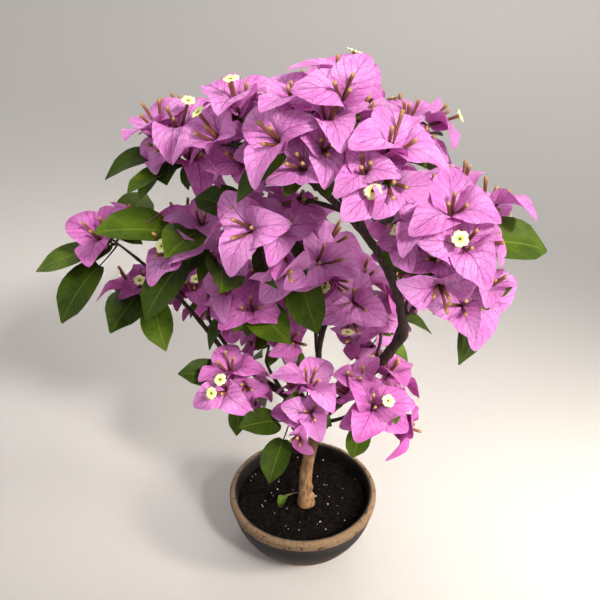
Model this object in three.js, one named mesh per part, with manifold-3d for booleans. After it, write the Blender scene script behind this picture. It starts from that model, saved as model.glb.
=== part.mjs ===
// A bougainvillea trained as a small tree, growing in a round earthenware bowl. Millimetres, +Z up. The
// origin is the middle of the bowl's flat underside. The plant's front is towards -Y.
//
// The bowl is filled with soil, and the trunk stands near the middle of it. The trunk ends in a fork. One
// limb climbs to the right to an elbow, from which an arching bough sweeps back over the middle of the
// plant. The other boughs leave these limbs in turn, and each ends where it enters its own spray. A spray
// is one solid: a stem that carries on from the bough, twigs that leave the stem in a golden-angle spiral,
// a blossom of papery bracts at the end of each twig, and leaves along the twigs.
import * as THREE from "three";
import { mergeVertices } from "three/addons/utils/BufferGeometryUtils.js";
import Module from "manifold-3d";

const wasm = await Module();
wasm.setup();

const GAP = 0.3; // clearance between solids that touch on the plant
const UP = new THREE.Vector3(0, 0, 1);
const GOLDEN_ANGLE = Math.PI * (3 - Math.sqrt(5));

// ---- Driving sizes -----------------------------------------------------------------------------------

// The bowl's lip is set out beyond its body, which bulges above its foot.
const BOWL = {
  rim: 70, height: 62, foot: 38, bulge: 0.86, wall: 5, floor: 6, sides: 30,
  lip: 11, lipThickness: 7, lipInset: 2.6,
};
const SOIL = { level: 52, crownRadius: 14, dip: 2.5, inset: 0.8, sides: 24 };
const TRUNK = { flare: 8.4, foot: 5.9, tip: 4.9, flareHeight: 9, sides: 9, steps: 7 };
const BRACT = { length: 35, width: 30, thickness: 0.7, dish: 2.6, widest: 0.36, flare: 0.98 };
const LEAF = { length: 50, width: 31, thickness: 0.8, dish: 2.4, widest: 0.4 };
const FOLD = 0.08; // how far beyond its widest points a blade's middle is, as a share of its length
const TWIG = { root: 1.2, tip: 0.8, hub: 1.1, crown: 0.5, steps: 2 };

// Limbs that carry other limbs: where each starts, the point it bends towards, and where it ends.
const TRUNK_PATH = [[3, -9, SOIL.level + GAP], [0, -9, 92], [7, -7, 126], [20, -3, 160]];
const LIMBS = [
  { name: "elbow_limb", from: ["trunk", 0.97], via: [60, -4, 200], tip: [82, -20, 256], radii: [4.7, 4.3] },
  { name: "left_limb", from: ["trunk", 0.9], via: [-30, 26, 166], tip: [-74, 45, 192], radii: [3.4, 2.5] },
  { name: "middle_limb", from: ["trunk", 0.985], via: [8, 22, 190], tip: [18, 22, 234], radii: [3.1, 2.4] },
];

// Each spray is carried by its own bough, which leaves a parent limb at a share of its length. A spray's
// space is a sphere of the given reach, cut off between it and its neighbours. Its spiral of blossoms
// starts on the side it faces. Where leafWays has directions, a leaf grows each of those ways. bloom and
// leafSize scale what it bears.
const SPRAYS = [
  { name: "crest_front", from: ["elbow_limb", 0.99], via: [74, -46, 346], tip: [2, -74, 420],
    radii: [4.2, 2.3], centre: [8, -88, 453], reach: 48, face: [0, -0.7, 0.7], blossoms: 13, leaves: 3,
    bloom: 1.06, seed: 25 },
  { name: "crest_left", from: ["crest_front_bough", 0.86], centre: [-32, -46, 436], reach: 46,
    face: [-0.6, -0.5, 0.6], blossoms: 10, leaves: 3, leafWays: [[0.35, -0.6, -0.8]], bloom: 1.06,
    seed: 32 },
  { name: "heart_left", from: ["crest_front_bough", 0.8], centre: [-27, -64, 391], reach: 40,
    face: [-0.3, -1, 0], blossoms: 9, leaves: 3, seed: 3 },
  { name: "crest_top", from: ["crest_front_bough", 0.62], centre: [22, -4, 434], reach: 48,
    face: [0.1, 0, 1], blossoms: 11, leaves: 2, seed: 30 },
  { name: "front_pink", from: ["crest_front_bough", 0.66], centre: [38, -106, 446], reach: 38,
    face: [0.2, -1, 0.4], blossoms: 8, leaves: 1, bloom: 1.04, seed: 4 },
  { name: "back_top", from: ["crest_front_bough", 0.5], centre: [-8, 54, 396], reach: 48,
    face: [-0.1, 0.8, 0.7], blossoms: 7, leaves: 2, seed: 33 },
  { name: "shoulder_right", from: ["crest_front_bough", 0.3], centre: [70, 8, 413], reach: 38,
    face: [0.8, 0, 0.6], blossoms: 7, leaves: 3, seed: 22 },
  { name: "right_front", from: ["crest_front_bough", 0.12], via: [116, -52, 336], radii: [2.9, 1.8],
    centre: [97, -98, 396], reach: 44, face: [0.1, -1, 0.6], blossoms: 13, leaves: 3, bloom: 1,
    seed: 21 },
  { name: "right_low", from: ["right_front_bough", 0.34], centre: [110, -90, 346], reach: 36,
    face: [0.2, -1, -0.1], blossoms: 7, leaves: 2, leafWays: [[-0.8, 0.2, 0.5]], bloom: 1.08, seed: 1 },
  { name: "back_right", from: ["elbow_limb", 0.8], centre: [92, 60, 314], reach: 48,
    face: [0.7, 0.7, 0.3], blossoms: 7, leaves: 2, seed: 10 },
  { name: "right_heart", from: ["elbow_limb", 0.5], centre: [66, 52, 223], reach: 36,
    face: [0.1, -0.6, 0.6], blossoms: 5, leaves: 2, leafWays: [[0.3, -0.7, 0.7]], seed: 27 },
  { name: "left_tip", from: ["left_limb", 0.98], via: [-112, 62, 246], radii: [2.3, 1.3],
    centre: [-164, 58, 300], reach: 35, face: [-0.3, -0.5, 0.9], blossoms: 3, leaves: 2,
    leafWays: [[-1, -0.2, -0.2], [-0.55, -0.35, -0.95]], leafSize: 1.15, seed: 4 },
  { name: "left_low", from: ["left_tip_bough", 0.5], centre: [-146, 64, 243], reach: 30,
    face: [-0.3, -1, 0.2], blossoms: 2, leaves: 2, leafWays: [[0.6, -0.6, -0.6], [0.9, -0.2, 0.5]],
    leafSize: 1.1, seed: 6 },
  { name: "low_left", from: ["left_limb", 0.3], centre: [-54, 8, 188], reach: 36,
    face: [-0.5, -0.8, 0.3], blossoms: 5, leaves: 2, leafWays: [[-1, -0.2, 0.3], [0.1, -0.8, -0.7]],
    bloom: 0.93, seed: 1 },
  { name: "back_left", from: ["left_limb", 0.8], centre: [-88, 96, 224], reach: 46,
    face: [-0.6, 0.7, 0.3], blossoms: 7, leaves: 2, seed: 18 },
  { name: "upper_left", from: ["middle_limb", 0.9], via: [-40, 30, 330], radii: [2.2, 1.5],
    centre: [-92, 24, 404], reach: 43, face: [-0.6, -0.3, 0.8], blossoms: 8, leaves: 2,
    leafWays: [[-1, -0.2, -0.15], [-0.8, -0.4, -0.5], [-0.3, -0.5, -0.9], [0.45, -0.4, -0.85]],
    seed: 9 },
  { name: "mid_left", from: ["upper_left_bough", 0.5], centre: [-82, 4, 334], reach: 43,
    face: [-0.7, -0.6, 0.3], blossoms: 4, leaves: 3, leafWays: [[-1, -0.3, 0.2], [-0.6, -0.6, -0.6]],
    leafSize: 1.15, seed: 16 },
  { name: "heart_low", from: ["upper_left_bough", 0.1], centre: [-46, 28, 262], reach: 39,
    face: [-0.3, -0.9, 0.4], blossoms: 6, leaves: 3, bloom: 0.9, seed: 27 },
  { name: "mid_heart", from: ["upper_left_bough", 0.2], centre: [2, 10, 315], reach: 41,
    face: [0, -1, 0.3], blossoms: 6, leaves: 2, seed: 5 },
  { name: "centre_right", from: ["middle_limb", 0.85], centre: [40, 30, 269], reach: 37,
    face: [0.2, -1, 0.2], blossoms: 5, leaves: 2, seed: 36 },
  { name: "back_heart", from: ["middle_limb", 0.55], centre: [0, 92, 262], reach: 44, face: [0, 0.9, 0.4],
    blossoms: 6, leaves: 2, seed: 21 },
  { name: "low_middle", from: ["left_limb", 0.35], centre: [-28, 34, 216], reach: 40,
    face: [-0.1, -0.8, 0.6], blossoms: 5, leaves: 2, bloom: 0.9, seed: 19 },
  { name: "front_low", from: ["trunk", 0.86], centre: [2, -26, 188], reach: 35, face: [0, -1, 0.5],
    blossoms: 5, leaves: 2, bloom: 0.93, seed: 30 },
  { name: "front_right", from: ["trunk", 0.88], via: [36, -18, 162], radii: [1.9, 1.4],
    centre: [60, -28, 198], reach: 40, face: [0.3, -1, 0.4], blossoms: 6, leaves: 3,
    leafWays: [[-0.6, -0.5, -0.9]], bloom: 0.95, leafSize: 0.7, seed: 4 },
  { name: "low_leaves", from: ["trunk", 0.8], centre: [-13, -24, 167], reach: 26, face: [-0.6, -1, -0.6],
    blossoms: 0, leaves: 0, leafWays: [[-0.3, -0.7, -0.55], [-0.9, -0.3, 0.2]], seed: 11 },
  { name: "foot_shoot", from: ["trunk", 0.07], centre: [-17, -14, 66], reach: 14, face: [-0.6, -1, 0.2],
    blossoms: 0, leaves: 2, leafSize: 0.3, seed: 28 },
];

// ---- Helpers: numbers, solids and swept limbs ----------------------------------------------------------

const vector = (point) => new THREE.Vector3(...point);

// Park and Miller's generator: the same stream of numbers from 0 to 1 for the same seed, in any language.
function randomStream(seed) {
  const MULTIPLIER = 48271;
  const MODULUS = 2147483647;
  const APART = 7919; // keeps the streams of neighbouring seeds apart
  let state = seed * APART;
  return () => {
    state = (state * MULTIPLIER) % MODULUS;
    return state / MODULUS;
  };
}

const SAME_POINT = 1e-4; // vertices closer than this are one
function solidOf(geometry) {
  geometry.deleteAttribute("normal");
  geometry.deleteAttribute("uv");
  const merged = mergeVertices(geometry, SAME_POINT);
  return new wasm.Manifold(
    new wasm.Mesh({
      numProp: 3,
      vertProperties: new Float32Array(merged.attributes.position.array),
      triVerts: new Uint32Array(merged.index.array),
    }),
  );
}

function geometryOf(solid) {
  const mesh = solid.getMesh();
  return new THREE.BufferGeometry()
    .setAttribute("position", new THREE.BufferAttribute(mesh.vertProperties, 3))
    .setIndex(new THREE.BufferAttribute(mesh.triVerts, 1));
}

// The largest separate body of a solid, without any sealed hollow.
function largestBody(solid) {
  return solid.decompose().reduce((best, body) => (body.volume() > best.volume() ? body : best));
}

// Points along a curve, evenly spaced in its own parameter.
function pointsAlong(curve, steps) {
  return Array.from({ length: steps + 1 }, (_, i) => curve.getPoint(i / steps));
}

const lerp = (a, b, share) => a + (b - a) * share;

// Two directions square to a line and to each other, and a direction turned between them.
function crossDirections(line) {
  const guide = Math.abs(line.z) < 0.9 ? UP : new THREE.Vector3(1, 0, 0);
  const side = guide.clone().cross(line).normalize();
  return [side, line.clone().cross(side)];
}
function around(side, other, turn) {
  return side.clone().multiplyScalar(Math.cos(turn)).addScaledVector(other, Math.sin(turn));
}

// A limb swept along a curve: rings of corners square to the curve, and a fan at each end. Each ring's
// first corner is carried over from the ring before, so that the limb doesn't twist.
function sweptLimb(curve, radiusAt, steps, sides) {
  const positions = [];
  let side = null;
  for (let i = 0; i <= steps; i++) {
    const tangent = curve.getTangent(i / steps);
    side = side
      ? side.addScaledVector(tangent, -side.dot(tangent)).normalize()
      : crossDirections(tangent)[0];
    const other = tangent.clone().cross(side);
    for (let k = 0; k < sides; k++) {
      const corner = around(side, other, (2 * Math.PI * k) / sides).multiplyScalar(radiusAt(i / steps));
      positions.push(...corner.add(curve.getPoint(i / steps)).toArray());
    }
  }
  const bottom = (steps + 1) * sides;
  positions.push(...curve.getPoint(0).toArray(), ...curve.getPoint(1).toArray());
  const faces = [];
  for (let k = 0; k < sides; k++) {
    const next = (k + 1) % sides;
    for (let i = 0; i < steps; i++) {
      const [a, b] = [i * sides + k, i * sides + next];
      faces.push(a, b, b + sides, a, b + sides, a + sides);
    }
    faces.push(bottom, next, k, bottom + 1, steps * sides + k, steps * sides + next);
  }
  return new THREE.BufferGeometry()
    .setAttribute("position", new THREE.Float32BufferAttribute(positions, 3))
    .setIndex(faces);
}

// ---- Bowl and soil -------------------------------------------------------------------------------------

const CLAY = new THREE.MeshStandardMaterial({ color: 0x6b5140, roughness: 0.6, metalness: 0 });
const EARTH = new THREE.MeshStandardMaterial({ color: 0x1d1612, roughness: 0.95, metalness: 0 });
const BARK = new THREE.MeshStandardMaterial({ color: 0x8a6a4b, roughness: 0.85, metalness: 0 });
const DARK_BARK = new THREE.MeshStandardMaterial({ color: 0x3c2c26, roughness: 0.85, metalness: 0 });
const BLOSSOM = new THREE.MeshStandardMaterial({ color: 0xcf6fc0, roughness: 0.6, metalness: 0 });

// The bowl's outer radius at a height: an arc that bulges from the foot to the bottom of the lip.
const LIP_BOTTOM = BOWL.height - BOWL.lip;
function bowlRadius(height) {
  const share = height / LIP_BOTTOM;
  return BOWL.foot + (BOWL.rim - BOWL.lipInset - BOWL.foot) * Math.sin((share * Math.PI) / 2) ** BOWL.bulge;
}
const bowlInside = (height) => bowlRadius(height) - BOWL.wall;

function arcOf(steps, at) {
  return Array.from({ length: steps + 1 }, (_, i) => new THREE.Vector2(...at(i / steps)));
}

function lathed(profile, sides) {
  return new THREE.LatheGeometry(profile, sides).rotateX(Math.PI / 2);
}

function bowl() {
  const outside = arcOf(6, (share) => [bowlRadius(share * LIP_BOTTOM), share * LIP_BOTTOM]);
  // The lip is a rounded roll that turns out, over the top and in again. Its first point drops to form its
  // skirt.
  const rollRadius = BOWL.lipThickness / 2;
  const START = 0.08;
  const roll = arcOf(5, (share) => {
    const turn = Math.PI * (share - START);
    const skirt = share === 0 ? BOWL.lip / 2 : 0;
    return [
      BOWL.rim - rollRadius + rollRadius * Math.cos(turn),
      BOWL.height - rollRadius + rollRadius * Math.sin(turn) - skirt,
    ];
  });
  const inside = arcOf(3, (share) => {
    const height = lerp(LIP_BOTTOM, BOWL.floor, share);
    return [bowlInside(height), height];
  });
  const [under, middle] = [new THREE.Vector2(0, 0), new THREE.Vector2(0, BOWL.floor)];
  return lathed([under, ...outside, ...roll, ...inside, middle], BOWL.sides);
}

function soil() {
  const wall = arcOf(3, (share) => {
    const height = lerp(BOWL.floor + GAP, SOIL.level - SOIL.dip, share);
    return [bowlInside(height) - SOIL.inset, height];
  });
  const profile = [
    new THREE.Vector2(0, BOWL.floor + GAP),
    ...wall,
    new THREE.Vector2(SOIL.crownRadius, SOIL.level),
    new THREE.Vector2(0, SOIL.level),
  ];
  return lathed(profile, SOIL.sides);
}

// ---- Trunk and boughs ----------------------------------------------------------------------------------

// Every limb as its curve and its radius along it, so that others can leave it and leaves can keep off it.
// A leaf or twig keeps CLEARANCE from each bead on them.
const limbs = new Map();
const CLEARANCE = { leaf: 3, twig: 2.8 };
const BEAD_STEP = 3;

function addLimb(name, curve, radiusAt) {
  const steps = Math.ceil(curve.getLength() / BEAD_STEP);
  const beads = pointsAlong(curve, steps).map((centre, i) => ({ centre, radius: radiusAt(i / steps) }));
  limbs.set(name, { curve, radiusAt, beads });
}

function trunkRadius(share) {
  const height = share * (TRUNK_PATH[3][2] - TRUNK_PATH[0][2]);
  const flare = (TRUNK.flare - TRUNK.foot) * Math.exp(-((height / TRUNK.flareHeight) ** 2));
  return lerp(TRUNK.foot, TRUNK.tip, share) + flare;
}
const trunkCurve = new THREE.CubicBezierCurve3(...TRUNK_PATH.map(vector));
addLimb("trunk", trunkCurve, trunkRadius);

// What is below the soil's level is cut off, so that the trunk's foot is flat.
const CUT = { width: 60, depth: 20 };
function trunk(extra = 0) {
  const body = sweptLimb(trunkCurve, (share) => trunkRadius(share) + extra, TRUNK.steps, TRUNK.sides);
  const below = new THREE.BoxGeometry(CUT.width, CUT.width, CUT.depth);
  below.translate(0, 0, SOIL.level + GAP - CUT.depth / 2);
  return largestBody(solidOf(body).subtract(solidOf(below)));
}

// A bough's curve: it leaves its parent's axis partly along it, bends, and ends where it enters its spray.
// A bough without radii of its own is as thick as its spray's reach calls for. None is thicker than its
// parent's tip.
const BOUGH = { thin: 0.036, least: 0.35, taper: 0.72, lean: 0.32, entry: 0.6, sides: 6, step: 26 };
const NO_THICKER = 1.02;
function boughOf({ from: [parent, share], via, tip, centre, reach, radii }) {
  const { curve, radiusAt } = limbs.get(parent);
  const start = curve.getPoint(share);
  const aim = vector(tip ?? centre);
  const lean = curve.getTangent(share).multiplyScalar(BOUGH.lean * start.distanceTo(aim));
  const bend = via ? vector(via) : start.clone().lerp(aim, BOUGH.lean).add(lean);
  const end = tip ? aim : aim.addScaledVector(aim.clone().sub(bend).normalize(), -BOUGH.entry * reach);
  const thickness = BOUGH.thin * reach + BOUGH.least;
  const [root, point] = radii ?? [thickness, thickness * BOUGH.taper];
  return {
    curve: new THREE.QuadraticBezierCurve3(start, bend, end),
    radiusAt: (share) => Math.min(lerp(root, point, share), radiusAt(1) * NO_THICKER),
  };
}

function limbSolid({ curve, radiusAt }, extra = 0) {
  const steps = Math.max(3, Math.ceil(curve.getLength() / BOUGH.step));
  return solidOf(sweptLimb(curve, (share) => radiusAt(share) + extra, steps, BOUGH.sides));
}

// Each bough is cut clear of the limbs made before it, where it leaves its parent or runs beside it.
const madeLimbs = [["trunk", trunk(), trunk(GAP)]];
function makeBough(name, row) {
  const bough = boughOf(row);
  let solid = limbSolid(bough);
  for (const [, , swollen] of madeLimbs) solid = solid.subtract(swollen);
  addLimb(name, bough.curve, bough.radiusAt);
  madeLimbs.push([name, largestBody(solid), limbSolid(bough, GAP)]);
}
LIMBS.forEach((row) => makeBough(row.name, row));
SPRAYS.forEach((row) => makeBough(row.name + "_bough", row));

// ---- Sprays --------------------------------------------------------------------------------------------

// A spray's space is convex: it is bounded by a plane between it and each of the other sprays. The plane's
// place depends on both reaches.
const SPACE_MARGIN = 0.8;
function spaceOf(row) {
  const centre = vector(row.centre);
  const planes = SPRAYS.filter((other) => other !== row).map((other) => {
    const normal = vector(other.centre).sub(centre);
    const apart = normal.length();
    const distance = (apart ** 2 + row.reach ** 2 - other.reach ** 2) / (2 * apart) - SPACE_MARGIN;
    return { normal: normal.divideScalar(apart), distance };
  });
  return (points) =>
    points.every((point) => {
      const offset = point.clone().sub(centre);
      return planes.every(({ normal, distance }) => offset.dot(normal) < distance);
    });
}

function clearOfLimbs(points, clearance) {
  for (const { beads } of limbs.values())
    for (const { centre, radius } of beads)
      if (points.some((point) => point.distanceTo(centre) < radius + clearance)) return false;
  return true;
}

// A bract or leaf is a thin dished blade: a root, two widest points and a tip round a middle point on each
// face.
const HOLLOW = 0.3; // how far the middle lies below the edge's root and tip, as a share of the dish
function bladeAt(root, along, face, length, shape) {
  const across = face.clone().cross(along).normalize();
  const upper = along.clone().cross(across);
  const at = (x, y, z) =>
    root.clone().addScaledVector(along, x * length).addScaledVector(across, y).addScaledVector(upper, z);
  const size = length / shape.length;
  const half = (shape.width * size) / 2;
  const dish = shape.dish * size;
  const corners = [at(0, 0, 0), at(shape.widest, -half, dish), at(1, 0, 0), at(shape.widest, half, dish)];
  const middle = shape.widest + FOLD;
  const sink = shape.dish * HOLLOW * size;
  const faces = [1, -1].map((side) => at(middle, 0, (side * shape.thickness) / 2 - sink));
  return { corners, faces, root, along, across, upper, length };
}

// Points spread over a blade, close enough together that no bough passes between them unnoticed.
function bladeSamples({ corners, faces }) {
  const [root, right, tip, left] = corners;
  const samples = [...corners, ...faces];
  for (const side of [right, left])
    for (const end of [root, tip])
      for (const u of [0.33, 0.66])
        for (const v of [0.25, 0.5, 0.75])
          samples.push(faces[0].clone().lerp(side, u * v).lerp(end, u * (1 - v) * 0.9));
  return samples;
}

function facesBetween(points, triangles) {
  const positions = new THREE.Float32BufferAttribute(points.flatMap((point) => point.toArray()), 3);
  return new THREE.BufferGeometry().setAttribute("position", positions).setIndex(triangles);
}

function bladeSolid({ corners, faces }) {
  const [top, bottom] = [4, 5];
  const triangles = [];
  for (let k = 0; k < 4; k++) {
    const next = (k + 1) % 4;
    triangles.push(k, next, top, next, k, bottom);
  }
  return solidOf(facesBetween([...corners, ...faces], triangles));
}

// Three bracts flare from one point, a third of a turn apart round the blossom's axis.
function blossomBlades(centre, axis, spin, size) {
  const [side, other] = crossDirections(axis);
  return [0, 1, 2].map((k) => {
    const out = around(side, other, spin + (k * 2 * Math.PI) / 3);
    const along = around(axis, out, BRACT.flare);
    const face = around(axis, out, BRACT.flare - Math.PI / 2);
    return bladeAt(centre, along, face, BRACT.length * size, BRACT);
  });
}

// A twig and its blossom are one closed surface. The twig's last ring of three corners lies between the
// bracts, and each bract spreads from two of those corners: two facets each side of a fold on top, and
// five round a point below.
function blossomSolid({ twig, blades, kept, place, facing, spin }) {
  const last = TWIG.steps;
  const positions = [];
  for (let i = 0; i <= last; i++) {
    const [side, other] = crossDirections(i === last ? facing : twig.getTangent(i / last));
    const radius = i === last ? TWIG.hub : lerp(TWIG.root, TWIG.tip, i / last);
    for (let k = 0; k < 3; k++) {
      const corner = around(side, other, spin + ((2 * k - 1) * Math.PI) / 3).multiplyScalar(radius);
      positions.push(corner.add(twig.getPoint(i / last)));
    }
  }
  const faces = [0, 2, 1];
  for (let i = 0; i < last; i++)
    for (let k = 0; k < 3; k++) {
      const [a, b] = [3 * i + k, 3 * i + ((k + 1) % 3)];
      faces.push(a, b, b + 3, a, b + 3, a + 3);
    }
  const top = positions.push(place.clone().addScaledVector(facing, TWIG.crown)) - 1;
  blades.forEach(({ corners, faces: [, under] }, k) => {
    const [near, far] = [3 * last + k, 3 * last + ((k + 1) % 3)];
    if (!kept[k]) {
      faces.push(near, far, top);
      return;
    }
    const left = positions.push(corners[3]) - 1;
    const tip = positions.push(corners[2]) - 1;
    const right = positions.push(corners[1]) - 1;
    const keel = positions.push(under) - 1;
    faces.push(top, near, right, top, right, tip, top, tip, left, top, left, far);
    faces.push(keel, right, near, keel, tip, right, keel, left, tip, keel, far, left, keel, near, far);
  });
  return solidOf(facesBetween(positions, faces));
}

// A blade as two flat triangles and the five lines that bound and fold it.
function bladeFacets({ corners: [root, right, tip, left] }) {
  const lines = [[root, right], [right, tip], [tip, left], [left, root], [root, tip]];
  return { triangles: [[root, right, tip], [root, tip, left]], lines };
}

// Whether a line crosses a triangle, each taken a little larger than it is.
const LONGER = 1.06;
const WIDER = 0.03;
function lineCrosses([from, to], [a, b, c]) {
  const way = to.clone().sub(from);
  const start = from.clone().addScaledVector(way, (1 - LONGER) / 2);
  way.multiplyScalar(LONGER);
  const [ab, ac] = [b.clone().sub(a), c.clone().sub(a)];
  const square = way.clone().cross(ac);
  const scale = ab.dot(square);
  if (Math.abs(scale) < 1e-9) return false;
  const offset = start.clone().sub(a);
  const u = offset.dot(square) / scale;
  const turned = offset.clone().cross(ab);
  const v = way.dot(turned) / scale;
  const t = ac.dot(turned) / scale;
  return u > -WIDER && v > -WIDER && u + v < 1 + 2 * WIDER && t > 0 && t < 1;
}

// A twig as the straight lines between a few points along it, leaving out its rooted end.
function twigFacets(twig) {
  const points = pointsAlong(twig, 4).slice(1);
  return { twig, triangles: [], lines: points.slice(1).map((point, i) => [points[i], point]) };
}

function bladesCross(one, two) {
  const crosses = (lines, triangles) =>
    lines.some((line) => triangles.some((triangle) => lineCrosses(line, triangle)));
  return crosses(one.lines, two.triangles) || crosses(two.lines, one.triangles);
}

// Where a blossom doesn't fit its place, it is tried turned, nearer the middle of the spray, and smaller.
// Each row is a size, a share of the distance, and a further turn.
const TRIES = [
  [1, 1, 0], [1, 1, 0.7], [1, 1, 1.4], [1, 0.78, 0], [1, 0.78, 0.7], [1, 0.78, 1.4], [0.92, 1.18, 0.35],
  [0.86, 0.9, 1.05], [0.86, 0.6, 0.35], [0.8, 1.1, 1.4], [0.8, 0.75, 0], [0.74, 0.5, 0.7], [0.7, 0.9, 1.05],
  [0.62, 1.1, 0], [0.62, 0.6, 0.7],
];
// Where a leaf doesn't fit, it is tried turned and smaller. Each row is a size and a further turn.
const LEAF_TRIES = [1, 0.85, 0.7].flatMap((share) => [0, 1.2, 2.4, 3.6, 4.8].map((swing) => [share, swing]));

// The spiral's blossoms are spread over a share of a sphere round the spray's middle, and turned towards
// the light.
const SPIRAL = { sweep: 1.6, inset: 22, near: 0.85, spreadOfReach: 0.3, lift: 1.4, tilt: 0.34 };
const STEM = { beyond: 0.3, bend: 0.45, first: 0.3, last: 0.95 };
const LEAF_WAY = { first: 0.3, range: 0.4, forward: 0.4, outward: 0.6, up: -0.15, facing: 0.7 };
const OWN_LEAF = { stalk: 0.5, swing: 0.12 };

// The rule of growth: everything that is drawn at random is drawn in the same order, whether or not it
// then fits.
function growSpray(row) {
  const random = randomStream(row.seed);
  const centre = vector(row.centre);
  const { curve, radiusAt } = limbs.get(row.name + "_bough");
  const fits = spaceOf(row);
  const heading = curve.getTangent(1);
  const stemStart = curve.getPoint(1).addScaledVector(heading, GAP);
  const stemEnd = centre.clone().addScaledVector(centre.clone().sub(stemStart), STEM.beyond);
  const stemBend = stemStart.clone().addScaledVector(heading, STEM.bend * stemStart.distanceTo(stemEnd));
  const stem = new THREE.QuadraticBezierCurve3(stemStart, stemBend, stemEnd);
  const axis = vector(row.face).normalize();
  const guide = UP.clone().addScaledVector(axis, 0.001).cross(new THREE.Vector3(1, 0.2, 0));
  const side = guide.cross(axis).normalize();
  const other = axis.clone().cross(side);

  const blossoms = [];
  const leaves = [];
  const placed = [];
  const growLeaf = (host, out, wayAt, stalk = 0) => {
    const along = LEAF_WAY.first + LEAF_WAY.range * random();
    const size = (0.85 + 0.3 * random()) * (row.leafSize ?? 1);
    const foot = host.getPoint(along);
    const turn = 2 * Math.PI * random();
    for (const [share, swing] of LEAF_TRIES) {
      const way = wayAt(host.getTangent(along), turn + swing, swing).normalize();
      const face = UP.clone().addScaledVector(out, LEAF_WAY.facing);
      face.addScaledVector(way, -face.dot(way)).normalize();
      const root = foot.clone().addScaledVector(way, stalk);
      const blade = bladeAt(root, way, face, LEAF.length * size * share, LEAF);
      if (!fits([...blade.corners, ...blade.faces])) continue;
      if (!clearOfLimbs(bladeSamples(blade), CLEARANCE.leaf)) continue;
      if (placed.some((other) => other.twig !== host && bladesCross(bladeFacets(blade), other))) continue;
      if (stalk) {
        const stalkFacets = { triangles: [], lines: [[foot, root]] };
        const beyondFoot = pointsAlong(new THREE.LineCurve3(foot, root), 6).slice(2);
        if (!clearOfLimbs(beyondFoot, CLEARANCE.twig)) continue;
        if (placed.some((other) => bladesCross(stalkFacets, other))) continue;
        placed.push(stalkFacets);
      }
      placed.push(bladeFacets(blade));
      leaves.push({ blade, foot, stalk });
      break;
    }
  };
  // A leaf with a way of its own is grown first, from the stem; the others follow the blossoms, one by one.
  for (const leafWay of row.leafWays ?? []) {
    const own = vector(leafWay).normalize();
    const wayAt = (tangent, turn, swing) =>
      own.clone().add(around(...crossDirections(own), turn).multiplyScalar(swing * OWN_LEAF.swing));
    growLeaf(stem, axis, wayAt, row.reach * OWN_LEAF.stalk);
  }
  let due = 0;
  const growLeaves = (upTo, host, out) => {
    for (; due < Math.floor(upTo + 1e-6); due++)
      growLeaf(host, out, (tangent, turn) =>
        around(...crossDirections(tangent), turn)
          .addScaledVector(tangent, LEAF_WAY.forward)
          .addScaledVector(out, LEAF_WAY.outward)
          .addScaledVector(UP, LEAF_WAY.up),
      );
  };
  for (let i = 0; i < row.blossoms; i++) {
    const polar = Math.acos(1 - ((i + 0.5) / row.blossoms) * SPIRAL.sweep);
    const turn = i * GOLDEN_ANGLE + row.seed;
    const out = around(axis, around(side, other, turn), polar);
    const distance = (row.reach - SPIRAL.inset) * (SPIRAL.near + SPIRAL.spreadOfReach * random());
    const tilt = new THREE.Vector3(random() - 0.5, random() - 0.5, random() - 0.5);
    const spin = 2 * Math.PI * random();
    const fullness = (0.88 + 0.2 * random()) * (row.bloom ?? 1);
    const facing = out.clone().addScaledVector(UP, SPIRAL.lift).addScaledVector(tilt, 2 * SPIRAL.tilt);
    facing.normalize();
    const start = stem.getPoint(lerp(STEM.last, STEM.first, polar / Math.PI));
    let best = null;
    for (const [size, pull, further] of TRIES) {
      const place = centre.clone().addScaledVector(out, distance * pull);
      const bend = place.clone().addScaledVector(facing, -STEM.bend * start.distanceTo(place));
      const twig = new THREE.QuadraticBezierCurve3(start, bend, place);
      if (!fits([start, bend, place])) continue;
      if (!clearOfLimbs(pointsAlong(twig, 8).slice(3), CLEARANCE.twig)) continue;
      const line = twigFacets(twig);
      if (placed.some((other) => bladesCross(line, other))) continue;
      const blades = blossomBlades(place, facing, spin + further, size * fullness);
      const kept = blades.map(
        (blade) =>
          fits([...blade.corners, ...blade.faces]) &&
          clearOfLimbs(bladeSamples(blade), CLEARANCE.leaf) &&
          !placed.some((other) => bladesCross(bladeFacets(blade), other)),
      );
      const count = kept.filter(Boolean).length;
      if (count >= 2 && count > (best?.count ?? 0))
        best = { twig, blades, kept, count, place, facing, spin: spin + further };
      if (count === 3) break;
    }
    if (best) {
      blossoms.push(best);
      const grown = best.blades.filter((_, k) => best.kept[k]);
      placed.push(...grown.map(bladeFacets), twigFacets(best.twig));
    }
    growLeaves(((i + 1) * row.leaves) / row.blossoms, best?.twig ?? stem, best ? out : axis);
  }
  if (!row.blossoms) growLeaves(row.leaves, stem, axis);

  return { stem, stemRadius: radiusAt(1), blossoms, leaves };
}

const SPRAY_TOLERANCE = 0.1; // facets smaller than this are merged into their neighbours
const STALK = { into: 0.12, tip: 0.5 }; // how far a stalk runs into its leaf, and its radius there
function spraySolid(row) {
  const { stem, stemRadius, blossoms, leaves } = growSpray(row);
  const parts = [solidOf(sweptLimb(stem, (share) => lerp(stemRadius, TWIG.root, share), 3, 5))];
  parts.push(...blossoms.map(blossomSolid));
  for (const { blade, foot, stalk } of leaves) {
    parts.push(bladeSolid(blade));
    if (!stalk) continue;
    const stalkLine = new THREE.LineCurve3(foot, blade.corners[0].clone().lerp(blade.corners[2], STALK.into));
    parts.push(solidOf(sweptLimb(stalkLine, (share) => lerp(TWIG.root, STALK.tip, share), 1, 3)));
  }
  return largestBody(wasm.Manifold.union(parts).simplify(SPRAY_TOLERANCE));
}

// ---- The plant as named meshes -------------------------------------------------------------------------

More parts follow.
